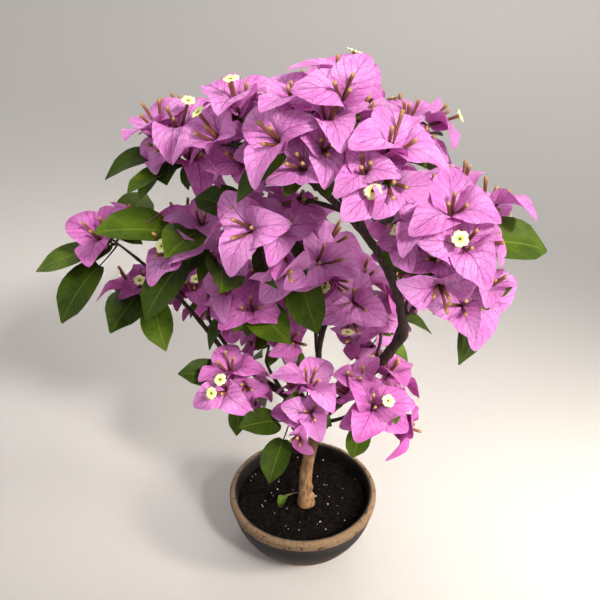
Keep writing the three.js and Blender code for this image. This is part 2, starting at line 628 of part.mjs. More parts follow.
const plant = new THREE.Group();
function add(name, geometry, material) {
  const mesh = new THREE.Mesh(geometry, material);
  mesh.name = name;
  plant.add(mesh);
}
add("bowl", bowl(), CLAY);
add("soil", soil(), EARTH);
for (const [name, solid] of madeLimbs) add(name, geometryOf(solid), name === "trunk" ? BARK : DARK_BARK);
for (const row of SPRAYS) add(row.name + "_spray", geometryOf(spraySolid(row)), BLOSSOM);

export default plant;
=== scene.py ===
"""A bougainvillea trained as a small tree in a round earthenware bowl, with its bark, leaves and blossom.

Sizes are in millimetres until a mesh is made. The plant grows by the same seeded rule as its solids do.
"""

import math

import bpy
import numpy as np
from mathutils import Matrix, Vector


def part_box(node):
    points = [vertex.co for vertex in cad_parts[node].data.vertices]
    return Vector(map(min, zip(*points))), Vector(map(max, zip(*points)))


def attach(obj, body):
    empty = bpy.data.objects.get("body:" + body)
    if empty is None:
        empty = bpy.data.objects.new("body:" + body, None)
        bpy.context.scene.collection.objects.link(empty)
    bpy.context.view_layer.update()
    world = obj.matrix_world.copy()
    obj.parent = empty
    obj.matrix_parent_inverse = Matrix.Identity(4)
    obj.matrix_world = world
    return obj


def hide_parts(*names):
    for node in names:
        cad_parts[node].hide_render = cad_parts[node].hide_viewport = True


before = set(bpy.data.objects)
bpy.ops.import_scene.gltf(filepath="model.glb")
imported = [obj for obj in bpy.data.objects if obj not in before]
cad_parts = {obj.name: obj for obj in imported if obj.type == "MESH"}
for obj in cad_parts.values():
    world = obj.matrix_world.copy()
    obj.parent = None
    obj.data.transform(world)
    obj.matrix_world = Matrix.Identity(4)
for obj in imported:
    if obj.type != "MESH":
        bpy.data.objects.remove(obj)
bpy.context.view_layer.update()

# ---- Bowl ----
# A wheel-thrown earthenware bowl. Its wall is dipped in a thin dark glaze that breaks to bare red clay near the
# foot, and its rolled lip is unglazed tan clay, rubbed and speckled by use.

MM = 0.001
BOWL_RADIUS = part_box("bowl")[1].x / MM
BOWL_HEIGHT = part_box("bowl")[1].z / MM
BOWL_FOOT = 38
BOWL_WALL = 5
BOWL_FLOOR = 6
BOWL_SWELL = 0.86
LIP_THICKNESS = 7
LIP_OVERHANG = 2.6
LIP_BOTTOM = BOWL_HEIGHT - 11
BOWL_SIDES = 144
UNTHROWN_RADIUS = 30


def ripple(points, size, seed):
    """Smooth random heights from -1 to 1: random numbers at cubes' corners, blended between by a cubic step."""
    cell = np.floor(points / size).astype(np.int64)
    part = points / size - cell
    blend = part * part * (3 - 2 * part)
    total = 0
    for corner in np.ndindex(2, 2, 2):
        x, y, z = np.moveaxis(cell + corner, -1, 0)
        mixed = (x * 73856093 ^ y * 19349663 ^ z * 83492791 ^ seed * 40503) & 0x7FFFFFFF
        value = mixed * 48271 % 2147483647 * 16807 % 2147483647 / 2147483647
        total = total + value * np.prod(np.where(corner, blend, 1 - blend), axis=-1)
    return 2 * total - 1


def piece(name, vertices, faces, finish, slot, uv=None, rim=None, smooth=True):
    """A mesh from vertices in millimetres and arrays of faces. Edges that join two rim vertices stay crisp."""
    mesh = bpy.data.meshes.new(name)
    mesh.vertices.add(len(vertices))
    mesh.vertices.foreach_set("co", (vertices * MM).astype(np.float32).ravel())
    corners = np.concatenate([group.ravel() for group in faces]).astype(np.int32)
    sizes = np.concatenate([np.full(len(group), group.shape[1]) for group in faces])
    mesh.loops.add(len(corners))
    mesh.loops.foreach_set("vertex_index", corners)
    mesh.polygons.add(len(sizes))
    mesh.polygons.foreach_set("loop_start", (np.cumsum(sizes) - sizes).astype(np.int32))
    mesh.update(calc_edges=True)
    mesh.polygons.foreach_set("use_smooth", np.full(len(sizes), smooth))
    if uv is not None:
        layer = mesh.uv_layers.new(name="along")
        layer.data.foreach_set("uv", uv[corners].astype(np.float32).ravel())
    if rim is not None:
        ends = np.zeros(2 * len(mesh.edges), np.int32)
        mesh.edges.foreach_get("vertices", ends)
        crisp = mesh.attributes.new("sharp_edge", "BOOLEAN", "EDGE")
        crisp.data.foreach_set("value", rim[ends.reshape(-1, 2)].all(axis=1))
    mesh.materials.append(finish)
    made = bpy.data.objects.new(name, mesh)
    bpy.context.scene.collection.objects.link(made)
    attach(made, "root")
    return made


def turns(sides):
    return np.arange(sides) * 2 * np.pi / sides


def ring_faces(rows, sides):
    """Faces between rings of vertices that follow one another, and fans to the two poles after them."""
    here = np.arange(rows * sides).reshape(rows, sides)
    ahead = np.roll(here, -1, axis=1)
    quads = np.stack([here[:-1], ahead[:-1], ahead[1:], here[1:]], axis=-1).reshape(-1, 4)
    start = np.stack([np.full(sides, rows * sides), ahead[0], here[0]], axis=-1)
    end = np.stack([np.full(sides, rows * sides + 1), here[-1], ahead[-1]], axis=-1)
    return [quads, start, end]


def turned(profile, sides):
    """A closed profile of radius and height, its ends on the axis, carried round the axis: each point becomes a
    ring, its radius times the cosine and sine of the turn, at its height."""
    turn = turns(sides)
    rings = profile[1:-1]
    ring_points = np.stack([np.outer(rings[:, 0], np.cos(turn)), np.outer(rings[:, 0], np.sin(turn)),
                            np.repeat(rings[:, 1:], sides, axis=1)], axis=-1)
    poles = [[0, 0, profile[0, 1]], [0, 0, profile[-1, 1]]]
    vertices = np.concatenate([ring_points.reshape(-1, 3), poles])
    return vertices, ring_faces(len(rings), sides)


def bowl_radius(height):
    """Outer radius at a height: a quarter sine wave to a power, which bulges from the foot to the lip."""
    share = np.clip(height / LIP_BOTTOM, 0, 1)
    return BOWL_FOOT + (BOWL_RADIUS - LIP_OVERHANG - BOWL_FOOT) * np.sin(share * np.pi / 2) ** BOWL_SWELL


def bowl_profile():
    """Radius and height round the bowl's section: underside, wall, lip, inside and floor. The lip's roll is
    part of a circle, a cosine out and a sine up."""
    rise = np.linspace(0.02, 1, 30) * LIP_BOTTOM
    wall = np.stack([bowl_radius(rise), rise], axis=-1)
    half = LIP_THICKNESS / 2
    swing = np.linspace(-0.35, np.pi, 16)
    roll = [BOWL_RADIUS, BOWL_HEIGHT] + half * np.stack([np.cos(swing) - 1, np.sin(swing) - 1], axis=-1)
    step = np.array([BOWL_RADIUS, LIP_BOTTOM]) + [[-1.4, 0.6], [-0.5, 1.6], [-0.1, 4]]
    fall = np.linspace(LIP_BOTTOM, BOWL_FLOOR, 16)
    inside = np.stack([bowl_radius(fall) - BOWL_WALL, fall], axis=-1)
    foot = [[0, 0], [BOWL_FOOT - 1.6, 0], [BOWL_FOOT - 0.4, 0.35]]
    return np.concatenate([foot, wall, step, roll, inside, [[0, BOWL_FLOOR]]])


class Finish:
    """A procedural material, to which nodes are added one by one."""

    def __init__(self, name):
        self.material = bpy.data.materials.new(name)
        self.material.use_nodes = True
        self.nodes = self.material.node_tree.nodes
        self.links = self.material.node_tree.links
        self.nodes.clear()
        self.output = self.nodes.new("ShaderNodeOutputMaterial")

    def add(self, kind, output=0, settings=(), **inputs):
        """Adds a node and gives one of its outputs. An input is a number, a colour or another node's output."""
        made = self.nodes.new("ShaderNode" + kind)
        for key, value in dict(settings).items():
            setattr(made, key, value)
        for key, value in inputs.items():
            slot = made.inputs[int(key[1:])] if key[0] == "_" else made.inputs[key.replace("_", " ")]
            if isinstance(value, bpy.types.NodeSocket):
                self.links.new(value, slot)
            else:
                slot.default_value = value
        return made.outputs[output]

    def place(self):
        """The place on the piece, in metres from its origin."""
        return self.add("TexCoord", output=3)

    def part(self, place, axis):
        """One of the three coordinates of a place, counted from 0."""
        return self.add("SeparateXYZ", output=axis, _0=place)

    def maths(self, operation, *values):
        return self.add("Math", settings={"operation": operation}, **{f"_{i}": v for i, v in enumerate(values)})

    def stretch(self, value, low, high, to_low=0.0, to_high=1.0):
        """The value carried from one range smoothly to another, and held at its ends."""
        return self.add("MapRange", settings={"interpolation_type": "SMOOTHSTEP"},
                        _0=value, _1=low, _2=high, _3=to_low, _4=to_high)

    def blend(self, share, under, over, how="MIX"):
        return self.add("Mix", output=2, settings={"data_type": "RGBA", "blend_type": how},
                        _0=share, _6=under, _7=over)

    def noise(self, where, scale, detail=3.0, roughness=0.55):
        return self.add("TexNoise", Vector=where, Scale=scale, Detail=detail, Roughness=roughness)

    def bump(self, strength, depth, height):
        return self.add("Bump", Strength=strength, Distance=depth, Height=height)

    def coat(self, colour, roughness, **more):
        return self.add("BsdfPrincipled", Base_Color=colour, Roughness=roughness, **more)

    def surface(self, shader):
        self.links.new(shader, self.output.inputs["Surface"])
        return self.material


def paint(red, green, blue):
    """A colour given as it shows on a screen, from 0 to 255, turned to light."""
    share = np.array([red, green, blue]) / 255
    light = np.where(share <= 0.04045, share / 12.92, ((share + 0.055) / 1.055) ** 2.4)
    return (*light.tolist(), 1.0)


def glazed_clay():
    """Dark glaze over red clay by height; the lip is picked out by height and distance from the axis."""
    f = Finish("glazed clay")
    where = f.place()
    height = f.part(where, 2)
    cloud = f.noise(where, 38.0)
    grain = f.noise(where, 900.0, 4.0)
    level = f.maths("MULTIPLY_ADD", cloud, 0.010, height)
    dip = f.blend(f.stretch(level, 0.014, 0.040), paint(92, 48, 32), paint(21, 16, 13))
    radius = f.add("VectorMath", output=1, settings={"operation": "LENGTH"},
                   _0=f.add("VectorMath", settings={"operation": "MULTIPLY"}, _0=where, _1=(1, 1, 0)))
    # Painted sheen: a grey band round the outside, just below the lip, stands for light shining on the dark
    # glaze.
    outside = f.stretch(radius, 0.0630, 0.0650)
    sheen_band = f.maths("MULTIPLY", f.stretch(level, 0.044, 0.054, 0, 0.45), outside)
    glaze_with_sheen = f.blend(sheen_band, dip, paint(46, 46, 46))
    bloomed = f.blend(f.stretch(f.noise(where, 90.0), 0.5, 0.72, 0, 0.3), glaze_with_sheen, paint(54, 46, 42))
    tan = f.blend(f.stretch(grain, 0.4, 0.7), paint(120, 97, 73), paint(90, 69, 50))
    rubbed = f.blend(f.stretch(f.noise(where, 210.0), 0.56, 0.66), tan, paint(60, 43, 32))
    lip = f.maths("MULTIPLY", f.stretch(level, 0.0562, 0.0578), f.stretch(radius, 0.0640, 0.0662))
    colour = f.blend(lip, bloomed, rubbed)
    rings = f.maths("SINE", f.maths("MULTIPLY", height, 2300.0))
    relief = f.maths("MULTIPLY_ADD", grain, 0.6, f.maths("MULTIPLY", rings, 0.12))
    bump = f.bump(0.35, 0.0006, relief)
    rough = f.stretch(lip, 0, 1, 0.55, 0.85)
    return f.surface(f.coat(colour, rough, Specular_IOR_Level=0.18, Normal=bump))


def bowl():
    """The turned section, its radius swelled by slow ripples and by throwing rings, a sine of the height."""
    vertices, faces = turned(bowl_profile(), BOWL_SIDES)
    radius = np.linalg.norm(vertices[:, :2], axis=1, keepdims=True)
    thrown = 0.22 * ripple(vertices, 24, 1)[:, None] + 0.1 * np.sin(vertices[:, 2:] * 1.3)
    vertices[:, :2] *= 1 + np.where(radius > UNTHROWN_RADIUS, thrown / np.maximum(radius, 1), 0)
    radius = np.linalg.norm(vertices[:, :2], axis=1)
    vertices[:, :2] *= np.minimum(1, BOWL_RADIUS / np.maximum(radius, 1))[:, None]
    made = piece("glazed_bowl", vertices, faces, glazed_clay(), "clay")
    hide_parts("bowl")


bowl()

# ---- Potting soil ----
# Damp black potting soil, crumbled by hand, with bits of bark in it and white specks of perlite. It is heaped a
# little round the trunk and has sunk at the bowl's wall.

SOIL_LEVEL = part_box("soil")[1].z / MM
SOIL_DIP = 2.5
SOIL_CROWN = 14
SOIL_BOTTOM = BOWL_FLOOR + 0.3
SOIL_CLEAR = 0.8
SOIL_SIDES = 220
SOIL_ROWS = 78
CRUMBLE_LIMIT = 1.4
CRUMBS = 900
PERLITE = 45

# Ripples in the soil's top: size, height and seed.
CRUMBLING = [(9, 0.9, 2), (3.4, 0.7, 3), (1.5, 0.45, 4)]
draw = np.random.default_rng(7)


def soil_height(radius):
    """Level round the trunk, then falling evenly to the wall."""
    edge = bowl_radius(SOIL_LEVEL - SOIL_DIP) - BOWL_WALL
    return SOIL_LEVEL - SOIL_DIP * np.clip((radius - SOIL_CROWN) / (edge - SOIL_CROWN), 0, 1)


def damp_soil():
    f = Finish("damp soil")
    where = f.place()
    clods = f.noise(where, 260.0, 5.0, 0.65)
    colour = f.blend(f.stretch(clods, 0.35, 0.72), paint(5, 4, 3), paint(24, 17, 13))
    bump = f.bump(0.8, 0.0012, f.noise(where, 620.0, 6.0, 0.7))
    return f.surface(f.coat(colour, 0.95, Specular_IOR_Level=0.05, Normal=bump))


def perlite():
    f = Finish("perlite")
    where = f.place()
    colour = f.blend(f.noise(where, 1500.0), paint(206, 204, 200), paint(128, 120, 112))
    return f.surface(f.coat(colour, 0.9))


def lumps(centres, sizes, stretch):
    """Small broken lumps: eight-sided crystals whose six corners are pushed in and out at random."""
    corners = np.array([[1, 0, 0], [0, 1, 0], [-1, 0, 0], [0, -1, 0], [0, 0, 1], [0, 0, -1]], float)
    faces = np.array([[0, 1, 4], [1, 2, 4], [2, 3, 4], [3, 0, 4], [1, 0, 5], [2, 1, 5], [3, 2, 5], [0, 3, 5]])
    shapes = corners * draw.uniform(1 - stretch, 1 + stretch, (len(centres), 6, 1))
    shapes = shapes + draw.uniform(-0.35, 0.35, shapes.shape)
    vertices = centres[:, None] + shapes * sizes[:, None, None]
    return vertices.reshape(-1, 3), [(faces + 6 * np.arange(len(centres))[:, None, None]).reshape(-1, 3)]


def scattered(count, inner, outer):
    """Places spread evenly over the soil's top between two radii."""
    radius = np.sqrt(draw.uniform(inner**2, outer**2, count))
    turn = draw.uniform(0, 2 * np.pi, count)
    return np.stack([radius * np.cos(turn), radius * np.sin(turn), soil_height(radius)], axis=-1)


def soil():
    """The turned top and side. The sum of three sizes of ripple raises the top, up to a limit."""
    edge = bowl_radius(SOIL_LEVEL - SOIL_DIP) - BOWL_WALL - SOIL_CLEAR
    top = np.linspace(0, edge, SOIL_ROWS)
    fall = np.linspace(SOIL_LEVEL - SOIL_DIP - 1.5, SOIL_BOTTOM, 6)
    side = np.stack([bowl_radius(fall) - BOWL_WALL - SOIL_CLEAR, fall], axis=-1)
    profile = np.concatenate([np.stack([top, soil_height(top)], axis=-1), side, [[0, SOIL_BOTTOM]]])[::-1]
    vertices, faces = turned(profile, SOIL_SIDES)
    upper = vertices[:, 2] > SOIL_LEVEL - SOIL_DIP - 0.5
    crumbled = sum(height * ripple(vertices, size, seed) for size, height, seed in CRUMBLING)
    vertices[:, 2] += np.where(upper, np.minimum(crumbled, CRUMBLE_LIMIT), 0)
    made = piece("potting_soil", vertices, faces, damp_soil(), "earth")
    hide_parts("soil")
    places = scattered(CRUMBS, 8, edge - 1)
    crumbs = lumps(places, draw.uniform(0.5, 1.7, CRUMBS), 0.4)
    piece("soil_crumbs", *crumbs, made.data.materials[0], "earth", smooth=False)
    places = scattered(PERLITE, 10, edge - 2) + [0, 0, 0.5]
    specks = lumps(places, draw.uniform(0.3, 0.9, PERLITE), 0.3)
    piece("perlite_specks", *specks, perlite(), "earth", smooth=False)


soil()

# ---- Trunk and boughs ----
# The trunk is a single stem of pale tan bark, with two healed stubs low down on its right. Above the fork the
# limbs are nearly black, finely ridged along their length, and swell a little where each bough leaves.

GAP = 0.3
UP = np.array([0.0, 0.0, 1.0])
GOLDEN_ANGLE = math.pi * (3 - math.sqrt(5))
TRUNK = {"flare": 8.4, "foot": 5.9, "tip": 4.9, "flare_height": 9}
TRUNK_CURVE = np.array([[3, -9, SOIL_LEVEL + GAP], [0, -9, 92], [7, -7, 126], [20, -3, 160]], float)
BOUGH = {"thin": 0.036, "least": 0.35, "taper": 0.72, "lean": 0.32, "entry": 0.6, "collar": 1.02}
BEAD_STEP = 3
TRUNK_SIDES = 40
TRUNK_RINGS = 70
BOUGH_SIDES = 14
BOUGH_RING = 2.5
JOINT_STEP = 21

# Healed stubs on the trunk: height, the way each points, how far it stands out, and its spread up and down.
STUBS = [(63, (1, -0.5, 0), 2.6, 3.0), (74, (1, -0.25, 0), 1.5, 3.0), (96, (-1, -0.4, 0), 0.7, 3.0)]

# Limbs that carry other limbs: where each starts, the point it bends towards, and where it ends.
LIMBS = [
    dict(name="elbow_limb", start=("trunk", 0.97), via=(60, -4, 200), tip=(82, -20, 256), radii=(4.7, 4.3)),
    dict(name="left_limb", start=("trunk", 0.9), via=(-30, 26, 166), tip=(-74, 45, 192), radii=(3.4, 2.5)),
    dict(name="middle_limb", start=("trunk", 0.985), via=(8, 22, 190), tip=(18, 22, 234), radii=(3.1, 2.4)),
]


def planned(name, start, centre, reach, face, blossoms, leaves, seed, **own):
    """A spray's plan: where its bough starts, its space, the way it faces, how much it bears, and its seed."""
    return dict(name=name, start=start, centre=centre, reach=reach, face=face, blossoms=blossoms, leaves=leaves,
                seed=seed, **own)


# Each spray hangs on a bough of its own, and keeps to a space round its centre, cut off half-way to its
# neighbours.
SPRAYS = [
    planned("crest_front", ("elbow_limb", 0.99), (8, -88, 453), 48, (0, -0.7, 0.7), 13, 3, 25,
            via=(74, -46, 346), tip=(2, -74, 420), radii=(4.2, 2.3), bloom=1.06),
    planned("crest_left", ("crest_front_bough", 0.86), (-32, -46, 436), 46, (-0.6, -0.5, 0.6), 10, 3, 32,
            leaf_ways=[(0.35, -0.6, -0.8)], bloom=1.06),
    planned("heart_left", ("crest_front_bough", 0.8), (-27, -64, 391), 40, (-0.3, -1, 0), 9, 3, 3),
    planned("crest_top", ("crest_front_bough", 0.62), (22, -4, 434), 48, (0.1, 0, 1), 11, 2, 30),
    planned("front_pink", ("crest_front_bough", 0.66), (38, -106, 446), 38, (0.2, -1, 0.4), 8, 1, 4,
            bloom=1.04),
    planned("back_top", ("crest_front_bough", 0.5), (-8, 54, 396), 48, (-0.1, 0.8, 0.7), 7, 2, 33),
    planned("shoulder_right", ("crest_front_bough", 0.3), (70, 8, 413), 38, (0.8, 0, 0.6), 7, 3, 22),
    planned("right_front", ("crest_front_bough", 0.12), (97, -98, 396), 44, (0.1, -1, 0.6), 13, 3, 21,
            via=(116, -52, 336), radii=(2.9, 1.8), bloom=1),
    planned("right_low", ("right_front_bough", 0.34), (110, -90, 346), 36, (0.2, -1, -0.1), 7, 2, 1,
            leaf_ways=[(-0.8, 0.2, 0.5)], bloom=1.08),
    planned("back_right", ("elbow_limb", 0.8), (92, 60, 314), 48, (0.7, 0.7, 0.3), 7, 2, 10),
    planned("right_heart", ("elbow_limb", 0.5), (66, 52, 223), 36, (0.1, -0.6, 0.6), 5, 2, 27,
            leaf_ways=[(0.3, -0.7, 0.7)]),
    planned("left_tip", ("left_limb", 0.98), (-164, 58, 300), 35, (-0.3, -0.5, 0.9), 3, 2, 4,
            via=(-112, 62, 246), radii=(2.3, 1.3), leaf_ways=[(-1, -0.2, -0.2), (-0.55, -0.35, -0.95)],
            leaf_size=1.15),
    planned("left_low", ("left_tip_bough", 0.5), (-146, 64, 243), 30, (-0.3, -1, 0.2), 2, 2, 6,
            leaf_ways=[(0.6, -0.6, -0.6), (0.9, -0.2, 0.5)], leaf_size=1.1),
    planned("low_left", ("left_limb", 0.3), (-54, 8, 188), 36, (-0.5, -0.8, 0.3), 5, 2, 1,
            leaf_ways=[(-1, -0.2, 0.3), (0.1, -0.8, -0.7)], bloom=0.93),
    planned("back_left", ("left_limb", 0.8), (-88, 96, 224), 46, (-0.6, 0.7, 0.3), 7, 2, 18),
    planned("upper_left", ("middle_limb", 0.9), (-92, 24, 404), 43, (-0.6, -0.3, 0.8), 8, 2, 9,
            via=(-40, 30, 330), radii=(2.2, 1.5),
            leaf_ways=[(-1, -0.2, -0.15), (-0.8, -0.4, -0.5), (-0.3, -0.5, -0.9), (0.45, -0.4, -0.85)]),
    planned("mid_left", ("upper_left_bough", 0.5), (-82, 4, 334), 43, (-0.7, -0.6, 0.3), 4, 3, 16,
            leaf_ways=[(-1, -0.3, 0.2), (-0.6, -0.6, -0.6)], leaf_size=1.15),
    planned("heart_low", ("upper_left_bough", 0.1), (-46, 28, 262), 39, (-0.3, -0.9, 0.4), 6, 3, 27,
            bloom=0.9),
    planned("mid_heart", ("upper_left_bough", 0.2), (2, 10, 315), 41, (0, -1, 0.3), 6, 2, 5),
    planned("centre_right", ("middle_limb", 0.85), (40, 30, 269), 37, (0.2, -1, 0.2), 5, 2, 36),
    planned("back_heart", ("middle_limb", 0.55), (0, 92, 262), 44, (0, 0.9, 0.4), 6, 2, 21),
    planned("low_middle", ("left_limb", 0.35), (-28, 34, 216), 40, (-0.1, -0.8, 0.6), 5, 2, 19, bloom=0.9),
    planned("front_low", ("trunk", 0.86), (2, -26, 188), 35, (0, -1, 0.5), 5, 2, 30, bloom=0.93),
    planned("front_right", ("trunk", 0.88), (60, -28, 198), 40, (0.3, -1, 0.4), 6, 3, 4, via=(36, -18, 162),
            radii=(1.9, 1.4), leaf_ways=[(-0.6, -0.5, -0.9)], bloom=0.95, leaf_size=0.7),
    planned("low_leaves", ("trunk", 0.8), (-13, -24, 167), 26, (-0.6, -1, -0.6), 0, 0, 11,
            leaf_ways=[(-0.3, -0.7, -0.55), (-0.9, -0.3, 0.2)]),
    planned("foot_shoot", ("trunk", 0.07), (-17, -14, 66), 14, (-0.6, -1, 0.2), 0, 2, 28, leaf_size=0.3),
]


def unit(line):
    return line / np.linalg.norm(line, axis=-1, keepdims=True)


def along(curve, share):
    """Points at these shares of a curve: its control points, weighted by the binomial terms of the share."""
    share = np.asarray(share, float)[..., None]
    order = len(curve) - 1
    return sum(math.comb(order, k) * share**k * (1 - share) ** (order - k) * curve[k] for k in range(order + 1))


def heading(curve, share):
    """The way a curve runs at a share: from a point just behind to one just ahead."""
    return unit(along(curve, min(share + 1e-4, 1)) - along(curve, max(share - 1e-4, 0)))


def trunk_radius(share):
    """An even taper, with a flare at the foot that dies away as a bell curve does."""
    height = share * (TRUNK_CURVE[3, 2] - TRUNK_CURVE[0, 2])
    flare = (TRUNK["flare"] - TRUNK["foot"]) * np.exp(-((height / TRUNK["flare_height"]) ** 2))
    return TRUNK["foot"] + (TRUNK["tip"] - TRUNK["foot"]) * share + flare


def bough_of(row):
    """A bough leaves its parent partly along it, bends, and ends in its spray or at its own tip."""
    curve, radius_at = limbs[row["start"][0]]
    share = row["start"][1]
    start = along(curve, share)
    aim = np.array(row.get("tip") or row["centre"], float)
    apart = np.linalg.norm(aim - start)
    bend = start + (aim - start) * BOUGH["lean"] + heading(curve, share) * BOUGH["lean"] * apart
    if "via" in row:
        bend = np.array(row["via"], float)
    end = aim if "tip" in row else aim - unit(aim - bend) * BOUGH["entry"] * row["reach"]
    root = BOUGH["thin"] * row.get("reach", 0) + BOUGH["least"]
    root, point = row.get("radii") or (root, root * BOUGH["taper"])
    widest = radius_at(1) * BOUGH["collar"]
    return np.array([start, bend, end]), lambda share: np.minimum(root + (point - root) * share, widest)


limbs = {"trunk": (TRUNK_CURVE, trunk_radius)}
for row in LIMBS:
    limbs[row["name"]] = bough_of(row)
for row in SPRAYS:
    limbs[row["name"] + "_bough"] = bough_of(row)


def frames(curves, shares):
    """Points, ways and two square directions along many curves at once. The first direction is square to the
    plane in which the curve bends, so that a sweep along the curve doesn't twist."""
    ends = curves[:, [0, -1]]
    first, last = unit(curves[:, 1] - ends[:, 0]), unit(ends[:, 1] - curves[:, -2])
    square = np.cross(first, last)
    flat = np.linalg.norm(square, axis=-1, keepdims=True) < 1e-4
    spare = np.cross(np.where(np.abs(first[:, 2:]) < 0.9, UP, [1.0, 0, 0]), first)
    square = unit(np.where(flat, spare, square))[:, None]
    points, ahead, behind = (np.moveaxis(along(np.moveaxis(curves, 1, 0), part[:, None]), 0, 1)
                             for part in (shares, np.minimum(shares + 1e-3, 1), np.maximum(shares - 1e-3, 0)))
    ways = unit(ahead - behind)
    side = unit(square - np.sum(square * ways, axis=-1, keepdims=True) * ways)
    return points, ways, side, np.cross(ways, side)


def ring_ways(side, other, turn):
    """Ways out from a middle line: one direction times the turn's cosine, plus the other times its sine."""
    return side[..., None, :] * np.cos(turn)[..., None] + other[..., None, :] * np.sin(turn)[..., None]


def swept(curves, radii, sides, shares):
    """Many limbs at once: rings square to each curve, of radii[curve, ring, corner], with closed ends."""
    points, _, side, other = frames(curves, shares)
    turn = turns(sides)
    rings = points[:, :, None] + ring_ways(side, other, turn) * radii[..., None]
    count, steps = rings.shape[:2]
    each = steps * sides + 2
    vertices = np.concatenate([rings.reshape(count, -1, 3), points[:, :1], points[:, -1:]], axis=1)
    faces = [repeated(group, count, each) for group in ring_faces(steps, sides)]
    level = np.repeat(shares, sides)
    uv = np.stack([np.tile(turn / (2 * np.pi), steps), level], axis=-1)
    uv = np.concatenate([uv, [[0.5, 0], [0.5, 1]]])
    return vertices.reshape(-1, 3), faces, np.tile(uv, (count, 1))


def repeated(faces, count, each):
    """The same faces for each of many copies, which have this many vertices each."""
    return (faces + each * np.arange(count)[:, None, None]).reshape(-1, faces.shape[1])


def bark(name, dark, light, scale):
    f = Finish(name)
    where = f.place()
    long_way = f.add("Mapping", Vector=where, Scale=(1.0, 1.0, 0.3))
    ridges = f.noise(long_way, scale, 6.0, 0.65)
    patches = f.noise(where, scale * 0.16)
    base = f.blend(f.stretch(ridges, 0.36, 0.66), dark, light)
    colour = f.blend(f.stretch(patches, 0.45, 0.7, 0, 0.5), base, dark, "MULTIPLY")
    bump = f.bump(0.7, 0.0011, ridges)
    return f.surface(f.coat(colour, 0.82, Normal=bump))


def plain(curve, radius_at, shares, sides):
    """A limb before its relief: the middles and radii of its rings, the ways out from them, and its surface."""
    rings, _, side, other = (part[0] for part in frames(curve[None], shares))
    radii = np.repeat(radius_at(shares)[:, None], sides, axis=1)
    out = ring_ways(side, other, turns(sides))
    return rings, radii, out, rings[:, None] + out * radii[..., None]


def trunk():
    """The tapering sweep, with ridges drawn out upwards, three slow lobes and a bell-shaped bump per stub."""
    curve, radius_at = limbs["trunk"]
    shares = np.linspace(0, 1, TRUNK_RINGS)
    turn = turns(TRUNK_SIDES)
    rings, radii, out, middle = plain(curve, radius_at, shares, TRUNK_SIDES)
    relief = 0.22 * ripple(middle * [1, 1, 0.35], 5, 11) + 0.12 * ripple(middle * [1, 1, 0.4], 2, 12)
    lobed = 0.35 * np.cos(3 * turn + shares[:, None] * 4) * (1 - shares[:, None] * 0.6)
    stubs = 0
    for height, way, size, spread in STUBS:
        apart = np.sum(out * unit(np.array(way, float)), axis=-1)
        level = (rings[:, None, 2] - height) / spread
        stubs = stubs + size * np.exp(-(level**2) - ((1 - apart) / 0.22) ** 2)
    vertices, faces, _ = swept(curve[None], (radii + relief + lobed + stubs)[None], TRUNK_SIDES, shares)
    vertices[:, 2] = np.maximum(vertices[:, 2], SOIL_LEVEL + GAP)
    finish = bark("trunk bark", paint(98, 69, 42), paint(150, 110, 70), 300.0)
    made = piece("trunk_bark", vertices, faces, finish, "bark")
    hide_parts("trunk")


def boughs():
    """Each bough is swept with its radius swelled by random ridges, and by bell-shaped joints at even steps."""
    names = [name for name in limbs if name != "trunk"]
    groups = []
    finish = bark("bough bark", paint(24, 16, 13), paint(70, 46, 34), 520.0)
    for name in names:
        curve, radius_at = limbs[name]
        length = np.sum(np.linalg.norm(np.diff(along(curve, np.linspace(0, 1, 50)), axis=0), axis=1))
        steps = max(8, int(length / BOUGH_RING))
        shares = np.linspace(0, 1, steps + 1)
        _, radii, _, surface = plain(curve, radius_at, shares, BOUGH_SIDES)
        relief = 0.11 * ripple(surface, 5, 21) + 0.06 * ripple(surface, 2.2, 22)
        from_joint = np.mod(shares * length, JOINT_STEP) - JOINT_STEP / 2
        joints = 0.10 * np.exp(-(from_joint / 2.4) ** 2)[:, None]
        groups.append(swept(curve[None], (radii * (1 + relief + joints))[None], BOUGH_SIDES, shares)[:2])
    vertices, faces = joined(groups)
    made = piece("bough_bark", vertices, faces, finish, "dark_bark")
    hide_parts(*names)


def joined(groups):
    """Several meshes as one: their vertices one after another, and their faces counted on."""
    starts = np.cumsum([0] + [len(vertices) for vertices, _ in groups[:-1]])
    faces = [face + start for (_, group), start in zip(groups, starts) for face in group]
    return np.concatenate([vertices for vertices, _ in groups]), faces


trunk()
boughs()

# ---- How the sprays grow ----
# A spray's stem carries on from its bough, and twigs leave it in a golden-angle spiral. Each twig ends in a
# blossom of three bracts, and leaves stand along the twigs. Side twigs with smaller blossoms fill the spray.

SPACE_MARGIN = 0.8
CLEAR_OF_LIMB = 3
TWIG_CLEAR = 2.8
HIT_MARGIN = 0.03
LARGER = 1 + 2 * HIT_MARGIN
TWIG_BEND = 0.45
STEM_PAST = 0.3
BRACT = {"length": 35, "width": 30, "dish": 2.6, "thickness": 0.7, "widest": 0.36, "flare": 0.98}
LEAF = {"length": 50, "width": 31, "dish": 2.4, "thickness": 0.8, "widest": 0.4}
SPIRAL = {"sweep": 1.6, "inset": 22, "near": 0.85, "spread": 0.3, "lift": 1.4, "tilt": 0.34}

# Drawn at random, each from a least value over a span: a leaf's or side twig's place on its twig, how full a
# leaf or a blossom grows, a side twig's length, and a turn.
LEAF_PLACE, SIDE_PLACE = (0.3, 0.4), (0.35, 0.4)
LEAF_FULLNESS, FULLNESS = (0.85, 0.3), (0.88, 0.2)
SIDE_LENGTH, TURN = (12, 12), (0, 2 * math.pi)

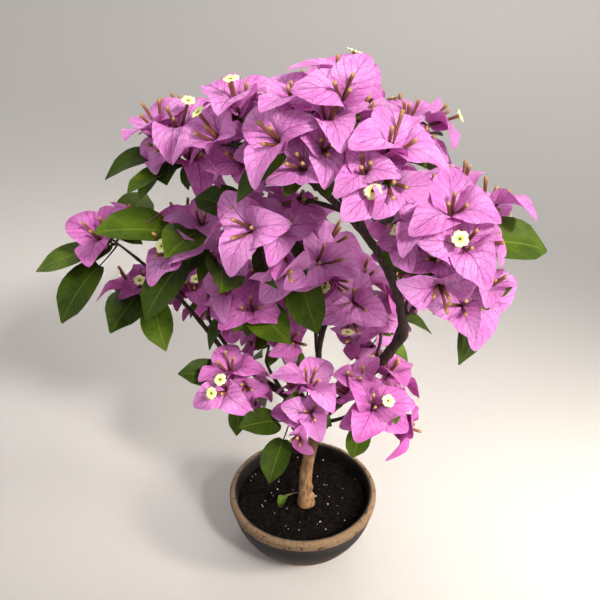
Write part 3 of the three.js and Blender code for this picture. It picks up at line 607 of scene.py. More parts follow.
# A blossom that doesn't fit is tried turned, nearer the middle and smaller: size, share of distance, turn.
TRIES = [
    (1, 1, 0), (1, 1, 0.7), (1, 1, 1.4), (1, 0.78, 0), (1, 0.78, 0.7), (1, 0.78, 1.4), (0.92, 1.18, 0.35),
    (0.86, 0.9, 1.05), (0.86, 0.6, 0.35), (0.8, 1.1, 1.4), (0.8, 0.75, 0), (0.74, 0.5, 0.7), (0.7, 0.9, 1.05),
    (0.62, 1.1, 0), (0.62, 0.6, 0.7),
]
LEAF_WAY = {"along": 0.4, "out": 0.6, "droop": 0.15, "sway": 0.12, "face": 0.7}
LEAF_TRIES = [(share, swing) for share in (1, 0.85, 0.7) for swing in (0, 1.2, 2.4, 3.6, 4.8)]

# Finer growth on each twig. Sprays behind BACK_Y bear one side twig more, and the sparse ones bear none.
SIDE_TWIGS = 1
BACK_Y = 30
SPARSE = ("left_tip", "left_low", "mid_left")
SIDE_LEAVES = 2
SIDE_LEAF_SIZE = 0.43
SIDE_TRIES = [(size, pull, swing) for size in (0.86, 0.72, 0.58) for pull in (1, 0.7)
              for swing in (0, 1.6, 3.1, 4.7)]

# The arching limb's bare length: no side blossom stands in front of it, nearer than this.
BARE_LIMB = along(limbs["crest_front_bough"][0], np.linspace(0, 0.8, 20))
BARE_FRONT = 10
BARE_REACH = 80


def random_stream(seed):
    """Park and Miller's numbers from 0 to 1, the same for the same seed."""
    state = seed * 7919
    while True:
        state = state * 48271 % 2147483647
        yield state / 2147483647


def drawn(stream, least, span):
    return least + span * next(stream)


def beads_along(curve, radius_at):
    """Points along a limb, about 3 mm apart, each with the limb's radius there."""
    length = np.sum(np.linalg.norm(np.diff(along(curve, np.linspace(0, 1, 201)), axis=0), axis=1))
    shares = np.arange(math.ceil(length / BEAD_STEP) + 1) / math.ceil(length / BEAD_STEP)
    return np.column_stack([along(curve, shares), radius_at(shares)])


BEADS = np.concatenate([beads_along(*limb) for limb in limbs.values()])


def clear_of_limbs(points, clearance):
    apart = np.linalg.norm(points[:, None] - BEADS[None, :, :3], axis=-1)
    return bool((apart >= BEADS[:, 3] + clearance).all())


def space_of(row):
    """The half-spaces that bound a spray: normals and distances from its centre."""
    centre = np.array(row["centre"], float)
    others = [other for other in SPRAYS if other is not row]
    normals = np.array([other["centre"] for other in others], float) - centre
    reaches = np.array([other["reach"] for other in others], float)
    apart = np.linalg.norm(normals, axis=1)
    limits = (apart**2 + row["reach"] ** 2 - reaches**2) / (2 * apart) - SPACE_MARGIN
    return lambda points: bool(((points - centre) @ (normals / apart[:, None]).T < limits).all())


def cross_directions(line):
    side = unit(np.cross(UP if abs(line[2]) < 0.9 else np.array([1.0, 0, 0]), line))
    return side, np.cross(line, side)


def around(directions, turn):
    return directions[0] * math.cos(turn) + directions[1] * math.sin(turn)


def blade_at(root, way, face, length, shape):
    """A bract or leaf where it grows: root, three directions of its own, length, and its outline's corners."""
    across = unit(np.cross(face, way))
    upper = np.cross(way, across)
    size = length / shape["length"]
    half, dish = shape["width"] * size / 2, shape["dish"] * size
    wide = shape["widest"] * length
    flat = [(0, 0, 0), (wide, -half, dish), (length, 0, 0), (wide, half, dish)]
    keel = [((shape["widest"] + 0.08) * length, 0, side * shape["thickness"] / 2 - dish * 0.3)
            for side in (1, -1)]
    corners = root + np.array(flat + keel) @ np.array([way, across, upper])
    return {"root": root, "way": way, "across": across, "upper": upper, "length": length, "corners": corners}


def blade_samples(blade):
    """The corners of a blade, and points spread over it between its keel, its sides and its ends."""
    root, right, tip, left, keel, _ = blade["corners"]
    u, v = (part.ravel()[:, None] for part in np.meshgrid([0.33, 0.66], [0.25, 0.5, 0.75], indexing="ij"))
    spread = []
    for side in (right, left):
        for end in (root, tip):
            point = keel + (side - keel) * u * v
            spread.append(point + (end - point) * u * (1 - v) * 0.9)
    return np.concatenate([blade["corners"], *spread])


def crossing(lines, triangles):
    """Whether any line passes through any triangle, both tested a little larger than they are."""
    if not len(lines) or not len(triangles):
        return False
    way = (lines[:, None, 1] - lines[:, None, 0]) * LARGER
    start = lines[:, None, 0] - way * (HIT_MARGIN / LARGER)
    a = triangles[None, :, 0]
    ab, ac = triangles[None, :, 1] - a, triangles[None, :, 2] - a
    square = np.cross(way, ac)
    scale = np.sum(ab * square, axis=-1)
    flat = np.abs(scale) < 1e-9
    scale = np.where(flat, 1, scale)
    offset = start - a
    turned_offset = np.cross(offset, ab)
    u = np.sum(offset * square, axis=-1) / scale
    v = np.sum(way * turned_offset, axis=-1) / scale
    t = np.sum(ac * turned_offset, axis=-1) / scale
    return bool((~flat & (u > -HIT_MARGIN) & (v > -HIT_MARGIN) & (u + v < LARGER) & (t > 0) & (t < 1)).any())


def blade_facets(blade):
    root, right, tip, left = blade["corners"][:4]
    lines = np.array([[root, right], [right, tip], [tip, left], [left, root], [root, tip]])
    return lines, np.array([[root, right, tip], [root, tip, left]])


def twig_lines(twig):
    points = along(twig, np.array([0.25, 0.5, 0.75, 1]))
    return np.stack([points[:-1], points[1:]], axis=1)


NO_TRIANGLES = np.zeros((0, 3, 3))


class Placed:
    """What a spray already holds, as lines and triangles, each line with the twig that it belongs to."""

    def __init__(self):
        self.lines, self.triangles, self.hosts = np.zeros((0, 2, 3)), NO_TRIANGLES, []

    def put(self, lines, triangles=NO_TRIANGLES, host=None):
        self.lines = np.concatenate([self.lines, lines])
        self.triangles = np.concatenate([self.triangles, triangles])
        self.hosts += [id(host)] * len(lines)

    def hit(self, lines, triangles=NO_TRIANGLES, but=None):
        others = self.lines
        if but is not None:
            others = others[np.array([host != id(but) for host in self.hosts], bool)]
        return crossing(lines, self.triangles) or crossing(others, triangles)


def blossom_blades(centre, axis, spin, size):
    """Three bracts flare from one point, a third of a turn apart round the blossom's axis."""
    blades = []
    for k in range(3):
        out = around(cross_directions(axis), spin + k * 2 * math.pi / 3)
        way = axis * math.cos(BRACT["flare"]) + out * math.sin(BRACT["flare"])
        face = axis * math.sin(BRACT["flare"]) - out * math.cos(BRACT["flare"])
        blades.append(blade_at(centre, way, face, BRACT["length"] * size, BRACT))
    return blades


class Spray:
    """One spray, grown into its own space. Random numbers are drawn in the same order, whatever then fits."""

    def __init__(self, row):
        self.row = row
        self.random = random_stream(row["seed"])
        self.centre = np.array(row["centre"], float)
        self.fits = space_of(row)
        curve, radius_at = limbs[row["name"] + "_bough"]
        way = heading(curve, 1)
        start = along(curve, 1) + way * GAP
        end = self.centre + (self.centre - start) * STEM_PAST
        bend = start + way * TWIG_BEND * np.linalg.norm(start - end)
        self.stem = np.array([start, bend, end])
        self.stem_radius = float(radius_at(1))
        self.axis = unit(np.array(row["face"], float))
        self.side = unit(np.cross(np.cross(UP + self.axis * 0.001, np.array([1, 0.2, 0])), self.axis))
        self.other = np.cross(self.axis, self.side)
        self.blossoms, self.leaves, self.placed = [], [], Placed()

    def grow_leaf(self, host, out, way_at, stalk=0.0, least=1.0):
        """A leaf where it fits: its blade stands off its twig by its stalk, if it has one."""
        share = drawn(self.random, *LEAF_PLACE)
        size = drawn(self.random, *LEAF_FULLNESS) * self.row.get("leaf_size", 1) * least
        foot = along(host, share)
        turn = drawn(self.random, *TURN)
        for part, swing in LEAF_TRIES:
            way = unit(way_at(heading(host, share), turn + swing, swing))
            face = UP + out * LEAF_WAY["face"]
            face = unit(face - face @ way * way)
            root = foot + way * stalk
            blade = blade_at(root, way, face, LEAF["length"] * size * part, LEAF)
            if not self.fits(blade["corners"]) or not clear_of_limbs(blade_samples(blade), CLEAR_OF_LIMB):
                continue
            if self.placed.hit(*blade_facets(blade), but=host):
                continue
            stalk_line = np.array([[foot, root]])
            if stalk:
                if not clear_of_limbs(along(stalk_line[0], np.arange(2, 7) / 6), TWIG_CLEAR):
                    continue
                if self.placed.hit(stalk_line):
                    continue
            self.placed.put(*blade_facets(blade))
            if stalk:
                self.placed.put(stalk_line)
            self.leaves.append({"blade": blade, "foot": foot})
            return

    def own_way(self, own):
        """Leaves that keep nearly to one set way."""
        own = unit(np.array(own, float))
        return lambda tangent, turn, swing: (
            own + around(cross_directions(own), turn) * (swing * LEAF_WAY["sway"]))

    def free_way(self, out):
        """Leaves that leave their twig at any turn, a little along it and outwards."""
        return lambda tangent, turn, swing: (
            around(cross_directions(tangent), turn) + tangent * LEAF_WAY["along"] + out * LEAF_WAY["out"]
            - UP * LEAF_WAY["droop"])

    def try_blossom(self, start, place, facing, spin, size):
        """The twig and the bracts of a blossom that would stand here, or nothing if its twig doesn't fit."""
        bend = place - facing * TWIG_BEND * np.linalg.norm(start - place)
        twig = np.array([start, bend, place])
        if not self.fits(twig) or not clear_of_limbs(along(twig, np.arange(3, 9) / 8), TWIG_CLEAR):
            return None
        if self.placed.hit(twig_lines(twig)):
            return None
        blades = blossom_blades(place, facing, spin, size)
        kept = [self.fits(blade["corners"]) and clear_of_limbs(blade_samples(blade), CLEAR_OF_LIMB)
                and not self.placed.hit(*blade_facets(blade)) for blade in blades]
        return {"twig": twig, "blades": blades, "kept": kept, "place": place, "facing": facing, "spin": spin,
                "size": size}

    def put_blossom(self, blossom):
        self.blossoms.append(blossom)
        for blade, kept in zip(blossom["blades"], blossom["kept"]):
            if kept:
                self.placed.put(*blade_facets(blade))
        self.placed.put(twig_lines(blossom["twig"]), host=blossom["twig"])

    def grow(self):
        """Set leaves come first. Then blossoms spiral back from the way the spray faces, each with its share of
        the free leaves. The further back a blossom stands, the lower its twig leaves the stem."""
        row = self.row
        for own in row.get("leaf_ways", []):
            self.grow_leaf(self.stem, self.axis, self.own_way(own), row["reach"] * 0.5)
        due = 0
        for i in range(row["blossoms"]):
            polar = math.acos(1 - (i + 0.5) / row["blossoms"] * SPIRAL["sweep"])
            turn = i * GOLDEN_ANGLE + row["seed"]
            out = (self.axis * math.cos(polar) + self.side * math.sin(polar) * math.cos(turn)
                   + self.other * math.sin(polar) * math.sin(turn))
            distance = (row["reach"] - SPIRAL["inset"]) * drawn(self.random, SPIRAL["near"], SPIRAL["spread"])
            tilt = np.array([next(self.random) - 0.5 for _ in range(3)])
            spin = drawn(self.random, *TURN)
            fullness = drawn(self.random, *FULLNESS) * row.get("bloom", 1)
            facing = unit(out + UP * SPIRAL["lift"] + tilt * SPIRAL["tilt"] * 2)
            start = along(self.stem, 0.95 - 0.65 * polar / math.pi)
            best = None
            for size, pull, further in TRIES:
                place = self.centre + out * distance * pull
                found = self.try_blossom(start, place, facing, spin + further, size * fullness)
                if found and sum(found["kept"]) >= max(2, sum(best["kept"]) + 1 if best else 0):
                    best = found
                if found and all(found["kept"]):
                    break
            if best:
                self.put_blossom(best)
            while due < math.floor((i + 1) * row["leaves"] / row["blossoms"] + 1e-6):
                due += 1
                host, way = (best["twig"], out) if best else (self.stem, self.axis)
                self.grow_leaf(host, way, self.free_way(way))
        for _ in range(row["leaves"] if not row["blossoms"] else 0):
            self.grow_leaf(self.stem, self.axis, self.free_way(self.axis))
        return self

    def grow_finer(self):
        """Side twigs leave each twig part of the way along it and end in smaller blossoms. Small leaves stand
        on each twig too."""
        side_twigs = 0 if self.row["name"] in SPARSE else SIDE_TWIGS + (self.centre[1] > BACK_Y)
        for blossom in list(self.blossoms):
            host = blossom["twig"]
            for _ in range(side_twigs):
                share = drawn(self.random, *SIDE_PLACE)
                turn, spin = drawn(self.random, *TURN), drawn(self.random, *TURN)
                length = drawn(self.random, *SIDE_LENGTH)
                start, way = along(host, share), heading(host, share)
                for size, pull, swing in SIDE_TRIES:
                    out = unit(around(cross_directions(way), turn + swing) + way * 0.55 + self.axis * 0.3)
                    facing = unit(out + UP * 0.35 + self.axis * 0.35)
                    found = self.try_blossom(start, start + out * length * pull, facing, spin, size)
                    if found and sum(found["kept"]) >= 2 and not hides_limb(found["place"]):
                        self.put_blossom(found)
                        break
            for _ in range(SIDE_LEAVES):
                self.grow_leaf(host, self.axis, self.free_way(self.axis), least=SIDE_LEAF_SIZE)


def hides_limb(place):
    """Whether a place is on the near side of the arching limb's bare length, and close to it."""
    nearest = BARE_LIMB[np.argmin(np.linalg.norm(BARE_LIMB - place, axis=1))]
    return place[1] < nearest[1] - BARE_FRONT and np.linalg.norm(nearest - place) < BARE_REACH


sprays = [Spray(row).grow() for row in SPRAYS]
for spray in sprays:
    spray.grow_finer()
SPRAY_NODES = [row["name"] + "_spray" for row in SPRAYS]

# ---- Stems, twigs and stalks ----
# Young wood, brown on the stems and reddish green on the thin twigs that hold the blossoms and the leaves.

TWIG = {"root": 1.05, "tip": 0.6}
STALK = {"root": 0.9, "tip": 0.55, "sag": 0.06}
PETIOLE = 0.13


def young_wood():
    f = Finish("young wood")
    where = f.place()
    patches = f.noise(where, 300.0, 4.0)
    colour = f.blend(f.stretch(patches, 0.35, 0.65), paint(62, 38, 30), paint(92, 78, 40))
    bump = f.bump(0.4, 0.0004, f.noise(where, 900.0))
    return f.surface(f.coat(colour, 0.6, Normal=bump))


def tapered(curves, ends, sides, steps):
    """Limbs that thin evenly from one radius to another."""
    ends = np.asarray(ends, float)
    shares = np.linspace(0, 1, steps + 1)
    radii = ends[:, :1] + (ends[:, 1:] - ends[:, :1]) * shares
    return swept(np.asarray(curves), np.repeat(radii[..., None], sides, axis=2), sides, shares)[:2]


def twigs():
    """Stems and twigs follow their growth, and a leaf's stalk sags a little between its twig and its blade."""
    stems = tapered([spray.stem for spray in sprays],
                    [(spray.stem_radius, TWIG["root"]) for spray in sprays], 8, 10)
    curves = [blossom["twig"] for spray in sprays for blossom in spray.blossoms]
    thin = tapered(curves, [(TWIG["root"], TWIG["tip"])] * len(curves), 6, 6)
    leaves = [leaf for spray in sprays for leaf in spray.leaves]
    stalks = []
    for leaf in leaves:
        blade = leaf["blade"]
        foot, end = leaf["foot"], blade["root"] + blade["way"] * blade["length"] * PETIOLE
        sag = blade["upper"] * STALK["sag"] * np.linalg.norm(end - foot)
        stalks.append([foot, (foot + end) / 2 - sag, end])
    stalks = tapered(stalks, [(STALK["root"], STALK["tip"])] * len(leaves), 5, 4)
    vertices, faces = joined([stems, thin, stalks])
    made = piece("twigs", vertices, faces, young_wood(), "dark_bark")
    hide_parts(*SPRAY_NODES)


twigs()

# ---- Bracts ----
# Three papery bracts stand round each group of flowers. Each is a heart-shaped blade with a drawn-out point,
# folded a little along its midrib, wavy at its edge and netted with fine veins. Paler and deeper copies of one
# pink are painted light and shade: high, right and near blossoms, towards the lamps, get more of the paler
# ones.

BLADE_ROWS = 12
BLADE_ACROSS = np.array([-1, -0.72, -0.36, 0, 0.36, 0.72, 1])
BRACT_WIDE = 1.04 * BRACT["width"] / BRACT["length"]
BRACT_SHEET = 0.3
FULL_SHARE = 0.45

# The least and the most of a bract's bulge, curl, fold, phase of the wave, wave and lean.
BRACT_MOODS = [0.06, 0.10, 0.12, 0.0, 0.08, 0.10], [0.24, 0.50, 0.52, 1.0, 0.30, 0.24]


def blade_grid():
    """Shares along and across a blade, the side of the sheet, and the faces: two sheets that share their rim.
    The rows crowd towards the root and the tip, which are single points."""
    rows = 0.5 - 0.5 * np.cos(np.pi * np.arange(1, BLADE_ROWS) / BLADE_ROWS)
    columns = len(BLADE_ACROSS)
    front = [(s, t, 0 if abs(t) == 1 else 1) for s in rows for t in BLADE_ACROSS]
    back = [(s, t, -1) for s in rows for t in BLADE_ACROSS[1:-1]]
    grid = np.array(front + back + [(0, 0, 0), (1, 0, 0)])
    upper = np.arange(len(front)).reshape(-1, columns)
    lower = upper.copy()
    lower[:, 1:-1] = len(front) + np.arange(len(back)).reshape(-1, columns - 2)
    root, tip = len(grid) - 2, len(grid) - 1
    quads, triangles = [], []
    for sheet, flip in ((upper, 1), (lower, -1)):
        corners = [sheet[:-1, :-1], sheet[1:, :-1], sheet[1:, 1:], sheet[:-1, 1:]]
        quads.append(np.stack(corners, -1).reshape(-1, 4)[:, ::flip])
        for end, row in ((root, sheet[0]), (tip, sheet[-1][::-1])):
            triangles.append(np.stack([np.full(columns - 1, end), row[:-1], row[1:]], -1)[:, ::flip])
    return grid, [np.concatenate(quads)[:, ::-1], np.concatenate(triangles)[:, ::-1]], grid[:, 2] == 0


def smoothstep(value):
    value = np.clip(value, 0, 1)
    return value * value * (3 - 2 * value)


def outline(s, widest, sharp, drawn_out):
    """Half-width along a blade, from 0 at the root through 1 at its widest to 0 at the tip: a power of the way
    from the root times a power of the way to the tip, narrowed near the tip into a drawn-out point."""
    rise = sharp * widest / (1 - widest)
    full = (s / widest) ** rise * ((1 - s) / (1 - widest)) ** sharp
    return full * (1 - drawn_out * smoothstep((s - 0.72) / 0.28))


def bract_surface(s, t, length, width, mood):
    """A folded, curling blade. The midrib rises as a parabola and curls back with the cube of the way along.
    Its halves stand up like an open book, their edges wave as a sine, and all of it leans to one side."""
    bulge, curl, fold, phase, wave, lean = (mood[:, k, None] for k in range(6))
    half = outline(s, 0.44, 0.47, 0.24) * width / 2
    y = half * t
    ridge = np.sqrt(t * t + 0.012) - math.sqrt(0.012)
    x = length * (s - 0.07 * t * t * (1 - s) ** 4)
    z = length * (bulge * 4 * s * (1 - s) - curl * s**3) + half * fold * ridge
    z = z + wave * half * t * t * np.sin(2 * np.pi * (1.35 * s + phase + 0.35 * np.sign(t)))
    z = z + lean * y * (1 - s) + 0.05 * half * np.sin(11 * s + 7 * phase) * (1 - np.abs(t))
    return x, y * (1 - 0.12 * fold * ridge), z


def blades(name, finish, made_of, surface, wide, low, high, thickness, start=0.0):
    """All blades of one kind as one mesh: the surface is worked out for every blade at once, then set in place.
    Each blade's mood, the numbers that bend it, is drawn evenly between low and high."""
    grid, faces, rim = blade_grid()
    spread = np.random.default_rng(len(made_of)).uniform(0, 1, (len(made_of), len(low)))
    moods = np.array(low) + (np.array(high) - low) * spread
    root, way, across, upper, full = (np.array([blade[key] for blade in made_of])[:, None]
                                      for key in ("root", "way", "across", "upper", "length"))
    length = full * (1 - start)
    x, y, z = surface(grid[:, 0], grid[:, 1], length, length * wide, moods)
    x, z = x + full * start, z + grid[:, 2] * thickness / 2
    vertices = root + (x[..., None] * way + y[..., None] * across + z[..., None] * upper)
    count, each = vertices.shape[:2]
    uv = np.tile(np.stack([0.5 + 0.5 * grid[:, 1], grid[:, 0]], axis=-1), (count, 1))
    faces = [repeated(group, count, each) for group in faces]
    return piece(name, vertices.reshape(-1, 3), faces, finish, "bloom", uv=uv, rim=np.tile(rim, count))


def veined(f, along_scale, lean, net, midrib):
    """How strongly a vein shows at each place of a blade, from 0 to 1: the midrib, side veins that run up from
    it to the edge, and a fine net between them. The midrib's share and the place along the blade come too."""
    place = f.add("UVMap")
    u, v = f.part(place, 0), f.part(place, 1)
    across = f.maths("ABSOLUTE", f.maths("MULTIPLY_ADD", u, 2.0, -1.0))
    wander = f.noise(place, 9.0, 2.0)
    side = f.maths("MULTIPLY_ADD", f.maths("POWER", across, 0.8), -lean, v)
    side = f.maths("MULTIPLY_ADD", wander, 0.05, side)
    waves = f.maths("PINGPONG", f.maths("MULTIPLY", side, along_scale), 0.5)
    side_veins = f.stretch(waves, 0.0, 0.09, 0.8, 0.0)
    rib = f.stretch(across, 0.0, midrib, 1.0, 0.0)
    stretched = f.add("Mapping", Vector=place, Scale=(net * 0.8, net, 1))
    cells = f.add("TexVoronoi", settings={"feature": "DISTANCE_TO_EDGE", "voronoi_dimensions": "2D"},
                  Vector=stretched, Scale=1.0)
    net_veins = f.stretch(cells, 0.0, 0.12, 0.38, 0.0)
    return f.maths("MAXIMUM", f.maths("MAXIMUM", side_veins, rib), net_veins), rib, v


def thin_skin(f, colour, bump, roughness, shine, through):
    """A thin blade: part of the light comes back from its skin, and this share of it passes through."""
    skin = f.coat(colour, roughness, Specular_IOR_Level=shine, Normal=bump)
    lit = f.add("BsdfTranslucent", Color=colour, Normal=bump)
    return f.surface(f.add("MixShader", _0=through, _1=skin, _2=lit))


def papery(name, pale, deep, vein):
    f = Finish(name)
    veins, _, v = veined(f, 6.0, 0.42, 12.0, 0.05)
    where = f.place()
    clouds = f.noise(where, 70.0, 3.0)
    base = f.blend(f.stretch(clouds, 0.32, 0.68), pale, deep)
    heart = f.blend(f.stretch(v, 0.0, 0.4, 0.55, 0.0), base, deep)
    colour = f.blend(f.maths("MULTIPLY", veins, 0.58), heart, vein)
    bump = f.bump(0.8, 0.001, f.maths("MULTIPLY", veins, -1.0))
    return thin_skin(f, colour, bump, 0.62, 0.3, 0.42)


# Three copies of one pink bract, from pale to deep, dealt out as painted light and shade.
BLOOMS = {
    "pale": papery("pale bract", paint(248, 180, 238), paint(238, 148, 222), paint(196, 84, 168)),
    "full": papery("full bract", paint(240, 154, 222), paint(226, 122, 204), paint(172, 60, 146)),
    "deep": papery("deep bract", paint(226, 126, 204), paint(206, 96, 182), paint(148, 44, 124)),
}


def bracts():
    """Painted light and shade: high, right and near blossoms, towards the lamps, are paler. The share of pale
    ones rises evenly with the spray's place.
    """
    chance = random_stream(77)
    sorted_blades = {shade: [] for shade in BLOOMS}
    for spray in sprays:
        # Painted light: the share of pale bracts rises with a spray's height, its place to the right and its
        # nearness, towards the lamps.
        light = 0.35 + (spray.centre[2] - 200) / 500 + spray.centre[0] / 800 - spray.centre[1] / 500
        for blossom in spray.blossoms:
            pick = next(chance)
            shade = "pale" if pick < light else "full" if pick < light + FULL_SHARE else "deep"
            sorted_blades[shade] += [blade for blade, kept in zip(blossom["blades"], blossom["kept"]) if kept]
    for shade, group in sorted_blades.items():
        made = blades("bracts_" + shade, BLOOMS[shade], group, bract_surface, BRACT_WIDE, *BRACT_MOODS,
                      BRACT_SHEET)
        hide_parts(*SPRAY_NODES)


bracts()

# ---- Flowers ----
# Inside the bracts stand three slender tubes, one on each midrib: maroon below, tan at the blunt tip. A few
# have opened into a small cream star with ten ruffled points and a green throat.

TUBE_LENGTH = 24
TUBE_RADII = [(0, 0.9), (0.18, 1.35), (0.45, 1.1), (0.78, 1.25), (0.94, 1.45), (1, 1.15)]
TUBE_SIDES = 7
STAR_RADIUS = 5.6
STAR_SIDES = 40
OPEN_SHARE = 0.11

# A tube's lean and how full it grows, each drawn from a least value over a span.
TUBE_LEAN, TUBE_FULLNESS = (0.10, 0.26), (0.82, 0.3)

# A star's section from throat to edge and back to the tube: share of its radius, height above the tube.
STAR_RINGS = np.array([(0.0, 0.5), (0.16, 0.55), (0.34, 0.8), (0.7, 1.05), (1.0, 0.9), (0.72, 0.7), (0.3, 0.1),
                       (0.0, -1.6)])


def flower_skin():
    f = Finish("flower tube")
    v = f.part(f.add("UVMap"), 1)
    where = f.place()
    streak = f.maths("MULTIPLY_ADD", f.noise(where, 700.0), 0.24, f.maths("SUBTRACT", v, 0.12))
    lower = f.blend(f.stretch(streak, 0.1, 0.7), paint(82, 36, 32), paint(116, 70, 44))
    colour = f.blend(f.stretch(streak, 0.8, 1.0), lower, paint(172, 132, 84))
    return f.surface(f.coat(colour, 0.55))


def star_skin():
    f = Finish("open flower")
    v = f.part(f.add("UVMap"), 1)
    inner = f.blend(f.stretch(v, 0.14, 0.24), paint(60, 74, 18), paint(206, 214, 96))
    colour = f.blend(f.stretch(v, 0.30, 0.62), inner, paint(246, 241, 182))
    return f.surface(f.coat(colour, 0.6))


def star_shape(tips, ways, spins):
    """Ruffled stars at the tubes' tips. Their radius swells five times round, and each lobe is notched: one
    plus a cosine of five turns, less a cosine of ten. They dip to a throat, and their underside runs back."""
    turn = turns(STAR_SIDES)
    ruffle = 1 + 0.07 * np.cos(5 * turn) - 0.07 * np.cos(10 * turn)
    weight = smoothstep(STAR_RINGS[:, 0] / 0.9)[:, None]
    radius = STAR_RADIUS * STAR_RINGS[:, :1] * (1 + (ruffle - 1) * weight)
    height = STAR_RINGS[:, 1:] + 0.4 * weight * np.cos(10 * turn + 1)
    guide = np.where(np.abs(ways[:, 2:]) < 0.9, UP, [1.0, 0, 0])
    side = unit(np.cross(guide, ways))
    out = ring_ways(side, np.cross(ways, side), turn[None, :] + spins[:, None])
    grid = (tips[:, None, None] + out[:, None] * radius[None, 1:-1, :, None]
            + ways[:, None, None] * height[None, 1:-1, :, None])
    poles = tips[:, None] + ways[:, None] * STAR_RINGS[[0, -1], 1][None, :, None]
    vertices = np.concatenate([grid.reshape(len(tips), -1, 3), poles], axis=1)
    each = vertices.shape[1]
    level = np.concatenate([np.repeat(STAR_RINGS[1:-1, 0], STAR_SIDES), [0, 0]])
    uv = np.stack([np.zeros(each), level], axis=-1)
    faces = [repeated(np.roll(group[:, ::-1], 1, axis=1), len(tips), each)
             for group in ring_faces(len(STAR_RINGS) - 2, STAR_SIDES)]
    return vertices.reshape(-1, 3), faces, np.tile(uv, (len(tips), 1))


def flowers():
    """Each tube stands near its bract's midrib, leans out from the blossom's axis and bends a little."""
    chance = random_stream(501)
    curves, stars = [], []
    for spray in sprays:
        for blossom in spray.blossoms:
            axis, place = blossom["facing"], blossom["place"]
            directions = cross_directions(axis)
            for k in range(3):
                out = around(directions, blossom["spin"] + k * 2 * math.pi / 3 + 0.3 * (next(chance) - 0.5))
                lean = drawn(chance, *TUBE_LEAN)
                length = TUBE_LENGTH * blossom["size"] * drawn(chance, *TUBE_FULLNESS)
                root = place + out * 0.9 + axis * 0.4
                way = unit(axis + out * lean)
                bend = root + way * length * 0.5 + out * length * 0.05
                tip = root + way * length + out * length * 0.16 * next(chance)
                curves.append([root, bend, tip])
                if next(chance) < OPEN_SHARE:
                    stars.append((tip, unit(tip - bend + axis * length * 0.3), next(chance) * 6))
    curves = np.array(curves)
    shares, radii = np.array(TUBE_RADII, float).T
    radii = np.broadcast_to(radii[None, :, None], (len(curves), len(radii), TUBE_SIDES))
    vertices, faces, uv = swept(curves, radii, TUBE_SIDES, shares)
    made = piece("flower_tubes", vertices, faces, flower_skin(), "bloom", uv=uv)
    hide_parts(*SPRAY_NODES)
    tips, ways, spins = (np.array(part) for part in zip(*stars))
    vertices, faces, uv = star_shape(tips, ways, spins)
    made = piece("open_flowers", vertices, faces, star_skin(), "bloom", uv=uv)
    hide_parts(*SPRAY_NODES)


flowers()

# ---- Leaves ----
# Smooth leathery leaves, dark green and a little glossy, each folded along a pale midrib and drooping to a
# point. Young and small ones are a fresher green.

LEAF_WIDE = 1.1 * LEAF["width"] / LEAF["length"]
LEAF_SHEET = 0.35
STALK_OVERLAP = 0.02
FRESH_SHARE = 0.3
FRESH_LENGTH = 26

# The least and the most of a leaf's rise, droop, fold, phase of the wave, wave and lean.
LEAF_MOODS = [0.05, 0.02, 0.10, 0.0, 0.02, -0.15], [0.30, 0.22, 0.42, 1.0, 0.10, 0.15]


def leaf_surface(s, t, length, width, mood):
    """A blade folded along its midrib, which rises from the stalk and then droops; the edges wave slightly."""
    rise, droop, fold, phase, wave, lean = (mood[:, k, None] for k in range(6))
    half = outline(s, 0.42, 0.62, 0.44) * width / 2
    ridge = np.sqrt(t * t + 0.01) - 0.1
    z = length * (rise * s * (1 - s) - droop * s * s) + half * fold * ridge
    z = z + wave * half * t * t * np.sin(2 * np.pi * (1.1 * s + phase + 0.3 * np.sign(t))) + lean * half * t * s
    return length * (s - 0.04 * t * t * (1 - s) ** 4), half * t * (1 - 0.12 * fold * ridge), z


def leathery(name, dark, light, rib_colour):
    f = Finish(name)
    veins, rib, _ = veined(f, 6.0, 0.34, 9.0, 0.05)
    where = f.place()
    base = f.blend(f.stretch(f.noise(where, 60.0), 0.35, 0.65), dark, light)
    vein_share = f.maths("MULTIPLY_ADD", rib, 0.5, f.maths("MULTIPLY", veins, 0.16))
    colour = f.blend(vein_share, base, rib_colour)
    bump = f.bump(0.35, 0.0006, f.maths("MULTIPLY", veins, -1.0))
    return thin_skin(f, colour, bump, 0.48, 0.15, 0.22)


GREENS = {
    "dark": leathery("dark leaf", paint(40, 57, 5), paint(54, 72, 8), paint(106, 122, 40)),
    "fresh": leathery("fresh leaf", paint(60, 83, 10), paint(82, 104, 17), paint(138, 152, 60)),
}


def leaves():
    chance = random_stream(909)
    sorted_leaves = {shade: [] for shade in GREENS}
    for spray in sprays:
        for leaf in spray.leaves:
            fresh = next(chance) < FRESH_SHARE or leaf["blade"]["length"] < FRESH_LENGTH
            sorted_leaves["fresh" if fresh else "dark"].append(leaf["blade"])
    for shade, group in sorted_leaves.items():
        made = blades("leaves_" + shade, GREENS[shade], group, leaf_surface, LEAF_WIDE, *LEAF_MOODS, LEAF_SHEET,
                      start=PETIOLE - STALK_OVERLAP)
        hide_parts(*SPRAY_NODES)


leaves()

# ---- Floor, camera and light ----
# A plain pale floor that runs far back. One soft lamp from the right brightens the floor beside the plant, one
# from behind brightens the floor there, and a far one in front on the right lights the plant. White light fills
# all round.

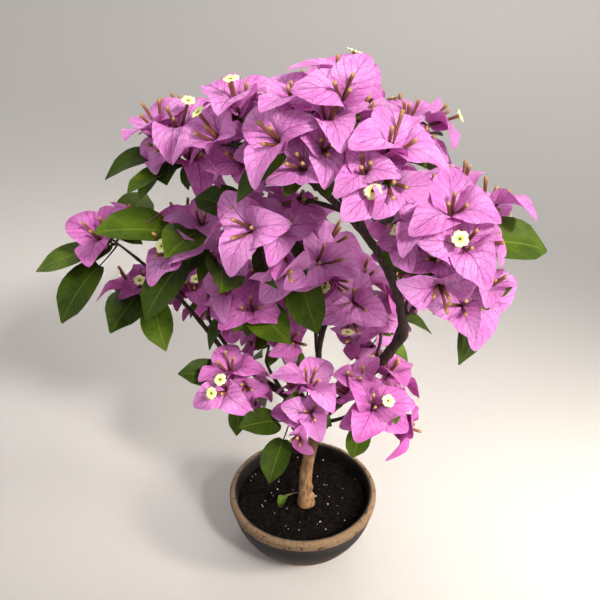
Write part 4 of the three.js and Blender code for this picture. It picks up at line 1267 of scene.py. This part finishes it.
FLOOR_CORNERS = [(-8, -4, 0), (8, -4, 0), (8, 12, 0), (-8, 12, 0)]


def floor():
    mesh = bpy.data.meshes.new("floor")
    mesh.from_pydata(FLOOR_CORNERS, [], [(0, 1, 2, 3)])
    f = Finish("pale floor")
    where = f.place()
    colour = f.blend(f.noise(where, 1.5), paint(172, 167, 162), paint(167, 162, 157))
    mesh.materials.append(f.surface(f.coat(colour, 0.7)))
    made = bpy.data.objects.new("floor", mesh)
    bpy.context.scene.collection.objects.link(made)


def lamp(name, place, aim, size, power, colour, spread=math.pi):
    data = bpy.data.lights.new(name, "AREA")
    data.shape, data.size, data.energy, data.color = "DISK", size, power, colour
    data.spread = spread
    made = bpy.data.objects.new(name, data)
    made.location = place
    way = np.array(aim, float) - np.array(place, float)
    tip = math.atan2(math.hypot(way[0], way[1]), -way[2])
    made.rotation_euler = (tip, 0, math.atan2(way[1], way[0]) - math.pi / 2)
    bpy.context.scene.collection.objects.link(made)


def camera():
    data = bpy.data.cameras.new("camera")
    data.lens, data.sensor_width = 54, 36
    made = bpy.data.objects.new("camera", data)
    made.location = (-0.0027, -0.6202, 0.6785)
    made.rotation_euler = (math.radians(57), 0, 0)
    bpy.context.scene.collection.objects.link(made)
    bpy.context.scene.camera = made


floor()
lamp("floor", place=(0.90, -0.34, 0.60), aim=(0.286, -0.018, 0.0), size=0.27, power=2.5,
     colour=(1.0, 0.96, 0.88), spread=0.925)
lamp("back", place=(0.7, 2.3, 1.68), aim=(0.36, 0.78, 0.0), size=1.2, power=21.0, colour=(1.0, 0.94, 0.94))
lamp("key", place=(1.2, -1.7, 2.2), aim=(0.0, -0.05, 0.36), size=0.6, power=1.5, colour=(1.0, 0.97, 0.93),
     spread=0.26)
world = bpy.data.worlds.new("studio")
world.use_nodes = True
sky = world.node_tree.nodes["Background"]
sky.inputs["Color"].default_value = (0.98, 0.98, 0.98, 1)
sky.inputs["Strength"].default_value = 0.85
bpy.context.scene.world = world
bpy.context.scene.view_settings.view_transform = "Standard"
camera()
